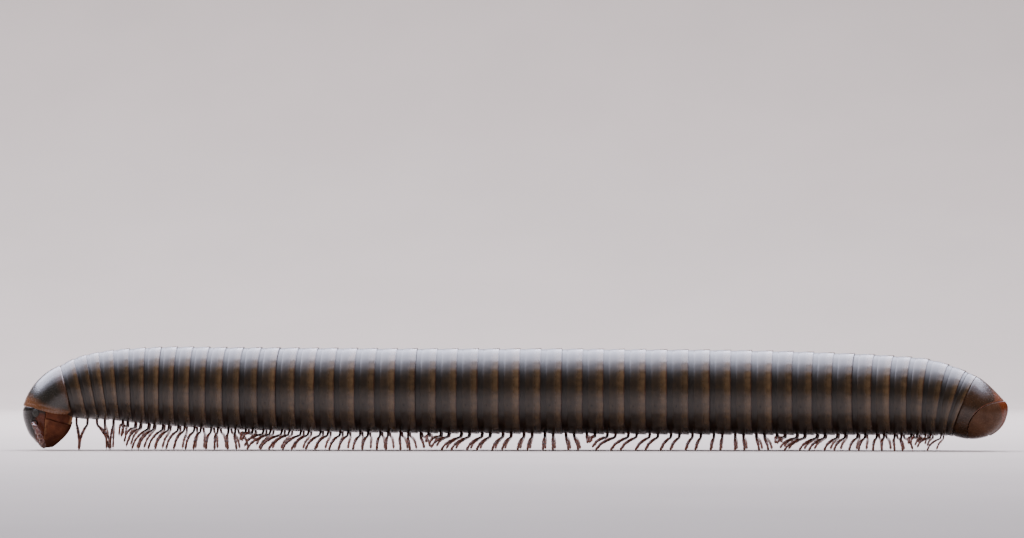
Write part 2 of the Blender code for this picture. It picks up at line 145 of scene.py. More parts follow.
def bowed(points: Array) -> Array:
    """Carries points of the straight body with the upright slices they lie in onto the bowed one.

    The middle line's slope runs straight between its stations and stays as it is past the ends, and its
    place is the slope's integral.

    Args:
        points: Points of the straight body in millimetres, one a row.

    Returns:
        The points of the bowed body.
    """
    places, slopes = BOW_STATIONS.T
    steps = np.diff(places) * (slopes[:-1] + slopes[1:]) / 2
    offsets = BOW_START + np.concatenate(([0.0], np.cumsum(steps)))
    x, out = points[:, 0], points[:, 1]
    index = np.clip(np.searchsorted(places, x, side="right") - 1, 0, len(places) - 1)
    slope = np.interp(x, places, slopes)
    middle = offsets[index] + (x - places[index]) * (slopes[index] + slope) / 2
    stretch = np.sqrt(1 + slope**2)
    return np.column_stack((x - out * slope / stretch, middle + out / stretch, points[:, 2]))


def midplane(x: Array, z: Array) -> Array:
    """Points of the middle plane at those x and heights."""
    return np.stack((x, np.zeros_like(x), z), axis=-1)


def leaning(lean: Array | float) -> Array:
    """Unit directions that are upright at 0 degrees and tip toward the head as the angle grows."""
    angle = np.radians(np.asarray(lean, float))
    return midplane(-np.sin(angle), np.cos(angle))


def powered(values: Array, power: Array | float) -> Array:
    """The values raised to 2 over the power, signs kept, which squares a circle as the power grows."""
    return np.sign(values) * np.abs(values) ** (2 / power)


def ease(low: float, high: float, values: Array) -> Array:
    """Rises from 0 at low to 1 at high along the cubic 3 p squared minus 2 p cubed."""
    part = np.clip((values - low) / (high - low), 0, 1)
    return part**2 * (3 - 2 * part)


def bell(values: Array, width: float) -> Array:
    """A bell of height 1 about 0: e to the minus square of the value over the width."""
    return np.exp(-((values / width) ** 2))


def rounded(distance: Array, radius: float) -> Array:
    """A quarter circle from 0 at an edge to 1 at the radius from it."""
    return np.sqrt(np.clip(1 - (1 - np.clip(distance / radius, 0, 1)) ** 2, 0, 1))


def spread(low: float, high: float, count: int) -> Array:
    """Places from low to high that crowd toward both ends, as the cosine of even angles does."""
    return low + (high - low) * (0.5 - 0.5 * np.cos(np.linspace(0, math.pi, count)))


def around(count: int) -> Array:
    """Even turns of a full circle, in radians."""
    return np.linspace(0, 2 * math.pi, count, endpoint=False)


def from_top(turn: Array) -> Array:
    """The angle from the top by the shorter way."""
    return np.minimum(turn, 2 * math.pi - turn)


def unit(vectors: Array) -> Array:
    """The vectors scaled to length 1, and zero where they have no length."""
    return vectors / np.maximum(np.linalg.norm(vectors, axis=-1, keepdims=True), 1e-12)


def walked(grid: Array) -> Array:
    """The length walked down each column of a grid of points, from its first row."""
    return np.cumsum(np.linalg.norm(np.diff(grid, axis=0, prepend=grid[:1]), axis=-1), axis=0)


def normals(grid: Array, wrap: bool) -> Array:
    """Outward unit normals of a grid of points: the cross product of its two directions.

    Args:
        grid: Points by row and column.
        wrap: Whether the last column meets the first.

    Returns:
        One normal a point, all turned to the side that faces away from the grid's middle.
    """
    if wrap:
        across = np.roll(grid, -1, axis=1) - np.roll(grid, 1, axis=1)
    else:
        across = np.gradient(grid, axis=1)
    raw = unit(np.cross(np.gradient(grid, axis=0), across))
    away = np.sum(raw * (grid - grid.mean(axis=(0, 1))))
    return raw * np.sign(away)


def spokes(direction: Array, count: int) -> Array:
    """Even directions square to the given one, from the X direction less its part along it."""
    fore = unit(LENGTHWISE - direction[..., :1] * direction)
    turn = around(count)[:, None]
    return np.cos(turn) * fore[..., None, :] + np.sin(turn) * np.cross(direction, fore)[..., None, :]


def carried(path: Array, radii: Array, sides: int) -> Array:
    """Circles carried along paths, each square to its path.

    Args:
        path: Points of one or several paths, with the point's number on the last axis but one.
        radii: Radius at each point.
        sides: Points in a circle.

    Returns:
        The circles' points, with axes for the path, its point, the side and the coordinate.
    """
    circle = spokes(unit(np.gradient(path, axis=-2)), sides)
    return path[..., None, :] + radii[..., None, None] * circle


def quads(rows: int, columns: int, wrap: bool) -> Array:
    """Corner numbers of a grid's four-sided faces, joining the last column to the first where it wraps."""
    row = np.arange(rows - 1)[:, None] * columns
    column = np.arange(columns if wrap else columns - 1)[None, :]
    after = (column + 1) % columns
    corners = (row + column, row + after, row + columns + after, row + columns + column)
    return np.stack(np.broadcast_arrays(*corners), axis=-1).reshape(-1, 4)


def placed(name: str, data: bpy.types.ID) -> bpy.types.Object:
    """A new object of that name and data, in the scene."""
    thing = bpy.data.objects.new(name, data)
    bpy.context.scene.collection.objects.link(thing)
    return thing


@dataclass
class Shell:
    """A piece under construction: closed surfaces in millimetres, with a finish's numbers at each point."""

    name: str
    points: list[Array] = field(default_factory=list)
    fours: list[Array] = field(default_factory=list)
    threes: list[Array] = field(default_factory=list)
    marks: dict[str, list[Array]] = field(default_factory=dict)
    size: int = 0

    def _keep(self, points: Array, fours: Array, threes: Array, marks: dict[str, Array]) -> "Shell":
        """Adds one closed surface, turned inside in or out by the sign of the volume that it encloses."""
        ends = np.vstack((fours[:, :3], fours[:, (0, 2, 3)], threes))
        corners = points[ends] - points.mean(axis=0)
        volume = np.sum(corners[:, 0] * np.cross(corners[:, 1], corners[:, 2]))
        step = -1 if volume < 0 else 1
        self.points.append(points)
        self.fours.append(fours[:, ::step] + self.size)
        self.threes.append(threes[:, ::step] + self.size)
        for name, values in marks.items():
            self.marks.setdefault(name, []).append(values)
        self.size += len(points)
        return self

    def tube(self, grid: Array, **marks: Array | float) -> "Shell":
        """Adds a tube through the grid's rows, whose columns wrap, each end closed to its middle.

        Args:
            grid: Points by row and column.
            marks: Numbers for the finish by name, of any shape that spreads over the points.

        Returns:
            The shell itself.
        """
        rows, columns = grid.shape[:2]
        points = np.vstack((grid.reshape(-1, 3), grid[0].mean(axis=0), grid[-1].mean(axis=0)))
        at = np.arange(columns)
        after = (at + 1) % columns
        base = (rows - 1) * columns
        first = np.stack((after, at, np.full(columns, rows * columns)), axis=1)
        last = np.stack((base + at, base + after, np.full(columns, rows * columns + 1)), axis=1)
        flat = {}
        for name, values in marks.items():
            values = np.broadcast_to(values, (rows, columns))
            flat[name] = np.concatenate((values.ravel(), (values[0].mean(), values[-1].mean())))
        return self._keep(points, quads(rows, columns, True), np.vstack((first, last)), flat)

    def plate(self, outer: Array, inner: Array, **marks: Array | float) -> "Shell":
        """Adds a thick sheet between two grids of the same size, closed round its edge.

        Args:
            outer: Points of its outer face, by row and column.
            inner: Points of its inner face.
            marks: Numbers for the finish by name, as for a tube.

        Returns:
            The shell itself.
        """
        rows, columns = outer.shape[:2]
        grid = np.concatenate((outer, inner[:, ::-1]), axis=1)
        at = np.arange(columns - 1)
        far = 2 * columns - 1 - at
        first = np.stack((at + 1, at, far, far - 1), axis=1)
        last = (rows - 1) * 2 * columns + first[:, ::-1]
        faces = np.vstack((quads(rows, 2 * columns, True), first, last))
        flat = {}
        for name, values in marks.items():
            values = np.broadcast_to(values, (rows, columns))
            flat[name] = np.concatenate((values, values[:, ::-1]), axis=1).ravel()
        return self._keep(grid.reshape(-1, 3), faces, np.empty((0, 3), int), flat)

    def sheet(
        self,
        base: Array,
        outward: Array,
        lift: Array,
        depth: float,
        mirror: Array | float = 1.0,
        **marks: Array | float,
    ) -> "Shell":
        """Adds a plate whose faces lie that lift outward from a surface and that depth under it."""
        outer, inner = base + outward * lift[..., None], base - outward * depth
        return self.plate(outer * mirror, inner * mirror, **marks)

    def tubes(self, grids: Array, **marks: Array | float) -> None:
        """Adds several tubes, the first axis counting them, each closed at both ends."""
        spread_marks = {name: np.broadcast_to(values, grids.shape[:3]) for name, values in marks.items()}
        for number, grid in enumerate(grids):
            self.tube(grid, **{name: values[number] for name, values in spread_marks.items()})

    def build(self, material: bpy.types.Material, slot: Slot, *nodes: str) -> None:
        """Makes the piece at the origin, dresses it, lets it ride on the body and stand for its CAD nodes.

        Args:
            material: Its finish.
            slot: The record's slot that the finish belongs to; not used.
            nodes: CAD nodes that it stands for.
        """
        data = bpy.data.meshes.new(self.name)
        faces = np.vstack(self.fours).tolist() + np.vstack(self.threes).tolist()
        data.from_pydata(bowed(np.vstack(self.points)) * MM, [], faces)
        for name, values in self.marks.items():
            data.attributes.new(name, "FLOAT", "POINT").data.foreach_set("value", np.concatenate(values))
        data.materials.append(material)
        data.shade_smooth()
        data.validate()
        piece = placed(self.name, data)
        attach(piece, "root")
        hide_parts(*nodes)
        LOG.info("%s: %d faces", self.name, len(faces))


class Bench:
    """The node tree of one finish, with short calls for the nodes that it uses."""

    def __init__(self, name: str) -> None:
        """Starts a material of that name with its shader alone."""
        self.material = bpy.data.materials.new(name)
        self.material.use_nodes = True
        self.tree = self.material.node_tree
        self.shader = self.tree.nodes["Principled BSDF"]
        self.place = self.node("ShaderNodeTexCoord").outputs["Object"]

    def feed(self, node: bpy.types.Node, inputs: Inputs) -> None:
        """Links each named or numbered input to another socket, or sets its value."""
        for key, value in inputs.items():
            socket = node.inputs[key]
            if isinstance(value, bpy.types.NodeSocket):
                self.tree.links.new(value, socket)
            elif isinstance(value, tuple) and socket.type == "RGBA":
                socket.default_value = (*value, 1.0)
            else:
                socket.default_value = value

    def node(self, kind: str, inputs: Inputs | None = None, **settings: str) -> bpy.types.Node:
        """Adds a node with those settings and inputs."""
        node = self.tree.nodes.new(kind)
        for name, value in settings.items():
            setattr(node, name, value)
        self.feed(node, inputs or {})
        return node

    def mark(self, name: str) -> Socket:
        """The number that the piece's points carry under that name."""
        return self.node("ShaderNodeAttribute", attribute_name=name).outputs["Fac"]

    def math(self, operation: str, *values: object) -> Socket:
        """One arithmetic step on sockets or numbers."""
        return self.node("ShaderNodeMath", dict(enumerate(values)), operation=operation).outputs[0]

    def rise(self, value: Socket, low: float, high: float, start: float = 0.0, end: float = 1.0) -> Socket:
        """Eases from start to end as the value goes from low to high."""
        inputs = {"Value": value, "From Min": low, "From Max": high, "To Min": start, "To Max": end}
        return self.node("ShaderNodeMapRange", inputs, interpolation_type="SMOOTHSTEP").outputs["Result"]

    def mix(self, part: object, low: object, high: object) -> Socket:
        """Blends two colours by a part from 0 to 1."""
        return self.node("ShaderNodeMix", {0: part, 6: low, 7: high}, data_type="RGBA").outputs[2]

    def ramp(self, value: Socket, *stops: tuple[float, Colour]) -> Socket:
        """A colour that runs through the stops, each a place and a colour."""
        node = self.node("ShaderNodeValToRGB", {0: value})
        band = node.color_ramp
        while len(band.elements) < len(stops):
            band.elements.new(1.0)
        for element, (place, colour) in zip(band.elements, stops):
            element.position = place
            element.color = (*colour, 1.0)
        return node.outputs[0]

    def noise(self, per_mm: float, detail: float = 3.0, stretch: Colour = (1.0, 1.0, 1.0)) -> Socket:
        """Even noise from 0 to 1 with that many grains to a millimetre, finer along stretched axes."""
        place = self.node("ShaderNodeMapping", {"Vector": self.place, "Scale": stretch}).outputs[0]
        inputs = {"Vector": place, "Scale": per_mm / MM, "Detail": detail}
        return self.node("ShaderNodeTexNoise", inputs).outputs["Fac"]

    def pits(self, per_mm: float) -> Socket:
        """The distance to the nearest of scattered points, that many to a millimetre."""
        inputs = {"Vector": self.place, "Scale": per_mm / MM}
        return self.node("ShaderNodeTexVoronoi", inputs).outputs["Distance"]

    def tint(self, colour: object, brightness: Socket) -> Socket:
        """The colour multiplied by a brightness."""
        inputs = {0: colour, "Scale": brightness}
        return self.node("ShaderNodeVectorMath", inputs, operation="SCALE").outputs[0]

    def bump(self, height: Socket, depth_mm: float, normal: Socket | None = None) -> Socket:
        """Tilts the surface as if the height, from 0 to 1, stood that many millimetres out."""
        below = {} if normal is None else {"Normal": normal}
        inputs = {"Distance": depth_mm * MM, "Height": height, **below}
        return self.node("ShaderNodeBump", inputs).outputs[0]

    def finish(
        self, colour: object, roughness: object, normal: Socket, coat: float, shine: float = 0.5
    ) -> bpy.types.Material:
        """Puts the finished colour, roughness and relief on the shader, under a clear waxy coat."""
        self.feed(self.shader, {"Base Color": colour, "Roughness": roughness, "Normal": normal})
        self.feed(self.shader, {"IOR": CHITIN_IOR, "Specular IOR Level": shine})
        self.feed(self.shader, {"Coat Weight": coat, "Coat Roughness": COAT_ROUGHNESS})
        return self.material


@dataclass(frozen=True)
class RingChitin:
    """The bands of a body ring: black-brown in front, light brown behind, with its fine sculpture."""

    front: Colour = (0.023, 0.013, 0.005)
    # The collar's colour: the prozonite's own darker brown, darkened further as painted shade under the rim
    # of the ring in front
    collar: Colour = (0.010, 0.006, 0.003)
    band: Colour = (0.090, 0.053, 0.024)
    rim: Colour = (0.045, 0.017, 0.008)
    belly: Colour = (0.034, 0.014, 0.008)
    pore: Colour = (0.004, 0.003, 0.003)
    suture_part: float = 0.255
    pore_part: float = 0.43
    pore_turn: float = 0.585
    pore_radius: float = 0.13
    first_with_pore: int = 5
    ring_mm: float = 3.2
    half_round_mm: float = 20.4
    hoops: int = 26
    lines: int = 52

    def material(self) -> bpy.types.Material:
        """Builds the finish from the marks "ring", the place along the trunk, and "turn", 0 at the back."""
        bench = Bench("ring chitin")
        ring, turn = bench.mark("ring"), bench.mark("turn")
        part, number = bench.math("FRACT", ring), bench.math("FLOOR", ring)
        own = bench.node("ShaderNodeTexWhiteNoise", {"W": number}, noise_dimensions="1D")
        along = bench.math("ADD", part, bench.math("MULTIPLY_ADD", bench.noise(0.5, 2.0), 0.10, -0.05))
        # Collar, front, light band and rim along the ring; the collar's dark stretch holds painted shade
        # under the ring in front
        bands = bench.ramp(
            along,
            (0.00, self.collar),
            (0.22, self.collar),
            (0.30, self.front),
            (0.56, self.front),
            (0.84, self.band),
            (0.93, self.band),
            (0.98, self.rim),
        )
        own_tone = bench.rise(own.outputs["Value"], 0.0, 1.0, 0.80, 1.22)
        mottle = bench.rise(bench.noise(1.6, 5.0, (0.5, 1.0, 1.0)), 0.25, 0.75, 0.72, 1.28)
        colour = bench.tint(bands, bench.math("MULTIPLY", own_tone, mottle))
        low = bench.rise(turn, 0.62, 0.95)
        colour = bench.mix(bench.math("MULTIPLY", low, 0.65), colour, self.belly)
        pore = self._pore(bench, part, number, turn)
        colour = bench.mix(pore, colour, self.pore)
        relief = self._relief(bench, part, turn, pore)
        collar = bench.rise(part, self.suture_part - 0.02, self.suture_part + 0.03, 1.0, 0.0)
        smoother = bench.rise(along, 0.56, 0.84, 0.28, 0.15)
        rough = bench.math("MULTIPLY_ADD", bench.noise(3.0, 4.0), 0.12, smoother)
        rough = bench.math("MULTIPLY_ADD", collar, 0.03, rough)
        return bench.finish(colour, rough, relief, 0.0)

    def _pore(self, bench: Bench, part: Socket, number: Socket, turn: Socket) -> Socket:
        """1 inside the round pore of a side gland, which all rings but the first five and the last have."""
        along = bench.math("MULTIPLY", bench.math("SUBTRACT", part, self.pore_part), self.ring_mm)
        over = bench.math("MULTIPLY", bench.math("SUBTRACT", turn, self.pore_turn), self.half_round_mm)
        square = bench.math("ADD", bench.math("POWER", along, 2.0), bench.math("POWER", over, 2.0))
        inside = bench.rise(bench.math("SQRT", square), self.pore_radius * 0.55, self.pore_radius, 1.0, 0.0)
        has_pore = bench.math("GREATER_THAN", number, self.first_with_pore - 0.5)
        not_last = bench.math("LESS_THAN", number, RING_COUNT - 1.5)
        return bench.math("MULTIPLY", inside, bench.math("MULTIPLY", has_pore, not_last))

    def _relief(self, bench: Bench, part: Socket, turn: Socket, pore: Socket) -> Socket:
        """Hoop lines on the collar, lengthwise lines low on the sides, pits, scratches and pores."""
        hoops = bench.math("SINE", bench.math("MULTIPLY", part, 2 * math.pi * self.hoops))
        hoops = bench.math("MULTIPLY", hoops, bench.rise(part, 0.20, 0.24, 1.0, 0.0))
        lines = bench.math("SINE", bench.math("MULTIPLY", turn, 2 * math.pi * self.lines))
        low = bench.math("MULTIPLY", bench.rise(turn, 0.60, 0.68), bench.rise(part, 0.27, 0.33))
        lines = bench.math("MULTIPLY", bench.math("POWER", bench.math("ABSOLUTE", lines), 6.0), low)
        normal = bench.bump(hoops, 0.0015)
        normal = bench.bump(lines, 0.035, normal)
        normal = bench.bump(bench.rise(bench.pits(5.0), 0.0, 0.25), 0.006, normal)
        normal = bench.bump(bench.noise(2.2, 6.0, (1.0, 0.35, 0.35)), 0.012, normal)
        return bench.bump(pore, -0.06, normal)


@dataclass(frozen=True)
class Chitin:
    """A plain glossy plate that darkens and lightens in clouds and takes another colour toward its edge."""

    name: str
    base: Colour
    cloud: Colour
    edge: Colour
    roughness: float = 0.24
    grain_mm: float = 0.02
    coat: float = 0.0
    shine: float = 0.5
    wander: float = 0.18
    rear: Colour | None = None

    def material(self) -> bpy.types.Material:
        """Builds the finish from the mark "edge", which is 1 where the edge's colour is full, and "rear"."""
        bench = Bench(self.name)
        colour = bench.mix(bench.rise(bench.noise(0.9, 5.0), 0.30, 0.72), self.base, self.cloud)
        if self.rear is not None:
            colour = bench.mix(bench.mark("rear"), colour, self.rear)
        ragged = bench.math("MULTIPLY_ADD", bench.noise(2.4, 3.0), 2 * self.wander, -self.wander)
        edge = bench.math("ADD", bench.mark("edge"), ragged)
        colour = bench.mix(bench.rise(edge, 0.25, 0.75), colour, self.edge)
        colour = bench.tint(colour, bench.rise(bench.noise(6.0, 4.0), 0.2, 0.8, 0.82, 1.18))
        rough = bench.math("MULTIPLY_ADD", bench.noise(3.5, 4.0), 0.16, self.roughness - 0.06)
        normal = bench.bump(bench.rise(bench.pits(4.0), 0.0, 0.22), 0.006)
        normal = bench.bump(bench.noise(3.0, 6.0), self.grain_mm, normal)
        return bench.finish(colour, rough, normal, self.coat, self.shine)


@dataclass(frozen=True)
class JointedChitin:
    """The skin of legs and antennae: translucent red-brown segments, paler at their joints and tips."""

    name: str
    base: Colour
    dark: Colour
    joint: Colour
    glow: float = 0.25
    glow_mm: float = 0.25
    glow_tone: Colour = (1.0, 0.25, 0.12)
    coat: float = 0.15

    def material(self) -> bpy.types.Material:
        """Builds the finish from the marks "edge", 1 at a joint, and "along", which rises toward the tip."""
        bench = Bench(self.name)
        clouds = bench.rise(bench.noise(1.2, 3.0), 0.3, 0.7)
        colour = bench.mix(clouds, self.dark, self.base)
        colour = bench.mix(bench.rise(bench.mark("along"), 0.80, 1.0), colour, self.joint)
        colour = bench.mix(bench.rise(bench.mark("edge"), 0.2, 0.9), colour, self.joint)
        normal = bench.bump(bench.noise(5.0, 4.0), 0.012)
        bench.feed(bench.shader, {"Subsurface Weight": self.glow, "Subsurface Radius": self.glow_tone})
        bench.feed(bench.shader, {"Subsurface Scale": self.glow_mm * MM})
        return bench.finish(colour, bench.rise(clouds, 0.0, 1.0, 0.26, 0.36), normal, self.coat)


@dataclass(frozen=True)
class Spine:
    """The line of joints between body rings, which every ring and leg is placed on."""

    # A joint's number, x, height, half height, half width, lean of its top toward the head
    stations: Array = table(
        (0, -68.22, 8.91, 4.26, 4.90, 14.0),
        (1, -66.19, 9.31, 4.83, 5.05, 13.5),
        (3, -62.73, 9.78, 5.32, 5.40, 8.5),
        (6, -56.24, 9.80, 5.93, 5.90, 1.0),
        (12, -41.20, 9.39, 6.36, 6.35, 0.0),
        (20, -17.61, 9.07, 6.52, 6.60, 0.0),
        (30, 13.91, 8.93, 6.57, 6.65, 0.0),
        (40, 45.90, 8.64, 6.37, 6.45, 0.0),
        (44, 57.86, 8.36, 6.07, 6.20, -1.0),
        (46, 62.93, 8.07, 5.82, 5.95, -4.0),
        (48, 67.32, 7.15, 5.13, 5.35, -16.4),
        (49, 68.56, 6.69, 4.89, 4.85, -22.2),
    )

    def belly(self, places: Array) -> Array:
        """The lowest points of the body's outline at places counted in rings."""
        x, height, half_height, _, lean = smooth(self.stations, places)
        return midplane(x, height) - half_height[..., None] * leaning(lean)

    def half_width(self, places: Array) -> Array:
        """Half the body's width at places counted in rings."""
        return smooth(self.stations, places)[3]

    def outlines(self, places: Array, swell: Array, turns: Array) -> Array:
        """Outlines of the body, from the top round by +Y.

        Each is an ellipse above its centre and a slightly squared one below: the cosine and sine of the
        turn, raised to 2 over the power, times the half height and half width.

        Args:
            places: Places counted in rings, one an outline.
            swell: The outline's size there, as a part of the full one.
            turns: Angles in radians, one a column.

        Returns:
            Points by outline and column.
        """
        x, height, half_height, half_width, lean = smooth(self.stations, places)
        power = np.where(np.cos(turns) < 0, BELLY_POWER, BACK_POWER)
        rise = (half_height * swell)[:, None] * powered(np.cos(turns), power)
        outward = (half_width * swell)[:, None] * powered(np.sin(turns), power)
        centre = midplane(x, height)[:, None]
        return centre + rise[..., None] * leaning(lean)[:, None] + outward[..., None] * ACROSS


@dataclass(frozen=True)
class Gait:
    """The walking wave that runs through the legs, and where it sets each foot."""

    fronts: tuple[float, ...] = (-80.0, -61.6, -42.2, -14.1, 10.3, 39.0, 59.7, 80.0)
    swing_length: float = 5.2
    back: float = 1.0
    ahead: float = 3.1
    lift_part: float = 0.5
    lift_early: float = 0.6

    def foot(self, root: Array) -> tuple[Array, Array]:
        """Where feet stand, for legs rooted at those points of the belly.

        A foot swings forward over the first few millimetres of its wave, lifted along a sine, and then
        stays on the floor while the body passes over it. Its lift is a part of the belly's height.

        Args:
            root: The roots' points.

        Returns:
            Each foot's reach behind its root, and its lift.
        """
        fronts = np.array(self.fronts)
        x, height = root[:, 0], root[:, 2]
        wave = np.searchsorted(fronts, x, side="right") - 1
        landed = fronts[wave] + self.swing_length
        swung = np.clip((x - fronts[wave]) / self.swing_length, 0, 1)
        stood = np.clip((x - landed) / (fronts[wave + 1] - landed), 0, 1)
        reach = self.back - (self.back + self.ahead) * (swung - stood)
        return reach, self.lift_part * height * np.sin(math.pi * swung**self.lift_early)


@dataclass(frozen=True)
class Legs:
    """The legs: single pairs behind the head, two pairs to every ring after them and a last single pair."""

    spine: Spine
    gait: Gait = Gait()
    # Foremost pairs: place in rings, reach of the foot behind its root, spread as a part of the others'
    front_pairs: Array = table(
        (0.15, 0.5, 0.78), (0.95, -1.4, 1.0), (1.75, 2.1, 0.82), (2.6, 0.5, 1.0), (3.4, -0.3, 0.9)
    )
    first_double: int = 4
    last_double: int = 46
    double_places: Pair = (0.17, 0.56)
    hindmost: float = 47.5
    full_room: float = 2.7
    root_depth: float = 1.0
    sides: int = 8
    # Points of the path: number, part of the half width outward, part of the belly's height, part of the
    # reach and of the lift that it follows
    path: Array = table(
        (0, 0.18, 1.00, 0.00, 0.00),
        (1, 0.36, 0.84, 0.05, 0.00),
        (2, 0.85, 0.68, 0.38, 0.45),
        (3, 1.05, 0.40, 0.76, 0.80),
        (4, 1.14, 0.00, 1.00, 1.00),
    )
    # Segments from the body out: where each starts and ends on the path, its radius
    segments: tuple[tuple[float, float, float], ...] = (
        (0.00, 1.02, 0.20),
        (1.06, 1.56, 0.21),
        (1.60, 2.06, 0.24),
        (2.10, 2.56, 0.25),
        (2.60, 3.06, 0.23),
        (3.10, 3.78, 0.20),
    )
    # One segment: part of its length, part of its radius, how much it takes the joints' colour
    swelling: tuple[tuple[float, float, float], ...] = (
        (0.0, 0.80, 1.0),
        (0.66, 1.04, 0.0),
        (1.0, 0.92, 0.15),
    )
    # The claw: place on the path, radius
    claw: tuple[Pair, ...] = ((3.82, 0.075), (4.0, 0.025))
    claw_mark: float = 0.5
    # Part of the path's last step outward that the claw's tip takes
    claw_step: float = 0.4

    def pairs(self) -> Array:
        """Rows of place in rings, reach, lift, spread and slimness, one a pair."""
        rings = np.arange(self.first_double, self.last_double + 1)[:, None]
        walking = np.append((rings + np.array(self.double_places)).ravel(), self.hindmost)
        reach, lift = self.gait.foot(self.spine.belly(walking))
        slim = self.slimness(walking)
        rows = np.stack((walking, reach * slim**2, lift, np.ones_like(walking), slim), axis=1)
        place, front_reach, spread_part = self.front_pairs.T
        front = (place, front_reach, np.zeros_like(place), spread_part, self.slimness(place))
        return np.vstack((np.stack(front, axis=1), rows))

    def slimness(self, places: Array) -> Array:
        """How slim legs are: the square root of their ring's underside over a full-grown one's."""
        ring = np.floor(places)
        room = (self.spine.belly(ring + 1) - self.spine.belly(ring))[..., 0]
        return np.minimum(1.0, np.sqrt(room / self.full_room))

    def stations(self) -> Array:
        """Rows of path place, radius and joint mark: each segment swells toward its far end."""
        rows = [
            (start + (end - start) * part, radius * swell, joint)
            for start, end, radius in self.segments
            for part, swell, joint in self.swelling
        ]
        return np.array(rows + [(place, radius, self.claw_mark) for place, radius in self.claw])

    def length(self, number: int) -> Shell:
        """The legs of one length of the trunk, by its number from 1."""
        pairs = self.pairs()
        pairs = pairs[pairs[:, 0] // RINGS_PER_LENGTH == number - 1]
        at, radius, joint = self.stations().T
        outward, rise, follow, raised = smooth(self.path, at)
        place, reach, lift, spread_part, slim = pairs.T[..., None]
        belly = self.spine.belly(pairs[:, 0])[:, None, :]
        x = belly[..., 0] + follow * reach
        y = spread_part * outward * self.spine.half_width(place)
        z = belly[..., 2] * rise + raised * lift + self.root_depth * np.clip(1 - at, 0, 1)
        shell = Shell(f"trunk_{number}_legs")
        for side in Side:
            path = np.stack((x, side.value * y, np.maximum(z, 0.0)), axis=-1)
            path[:, -1, :2] = path[:, -2, :2] + self.claw_step * (path[:, -1, :2] - path[:, -2, :2])
            grids = carried(path, radius * slim, self.sides)
            grids[:, -1, :, 2] = path[:, -1, None, 2]
            shell.tubes(grids, along=at[:, None] / 4, edge=joint[:, None])
        return shell


@dataclass(frozen=True)
class Trunk:
    """The body rings, telescoped into one another, in lengths of seven."""

    spine: Spine
    columns: int = 104
    # One ring from under the last one's rim to its own: part of the ring's length, part of its full radius
    profile: Array = table(
        (-0.040, 0.9680),
        (0.020, 0.9730),
        (0.110, 0.9765),
        (0.190, 0.9780),
        (0.236, 0.9770),
        (0.255, 0.9700),
        (0.275, 0.9765),
        (0.310, 0.9815),
        (0.390, 0.9875),
        (0.520, 0.9925),
        (0.660, 0.9950),
        (0.790, 0.9980),
        (0.890, 1.0010),
        (0.945, 1.0030),
        (0.978, 1.0020),
        (0.995, 0.9975),
        (1.000, 0.9910),
        (0.988, 0.9830),
        (0.962, 0.9760),
    )
    groove_depth: float = 0.06
    groove_width: float = 0.9

    def length(self, number: int) -> Shell:
        """Seven rings as one closed tube, marked with the place in rings and the turn from back to belly.

        Args:
            number: The length's number, from 1.

        Returns:
            The tube.
        """
        part, swell = self.profile.T
        ring = np.arange(RINGS_PER_LENGTH)[:, None] + (number - 1) * RINGS_PER_LENGTH
        turns = around(self.columns)
        grid = self.spine.outlines((ring + part).ravel(), np.tile(swell, RINGS_PER_LENGTH), turns)
        below = grid[..., 2] < grid[..., 2].mean(axis=1, keepdims=True)
        grid[..., 2] += self.groove_depth * bell(grid[..., 1], self.groove_width) * below
        shown = np.clip(ring + np.clip(part, 0.0, 0.999), 0, RING_COUNT)
        folded = np.maximum.accumulate(shown, axis=1).ravel()[:, None]
        return Shell(f"trunk_{number}_rings").tube(grid, ring=folded, turn=from_top(turns) / math.pi)


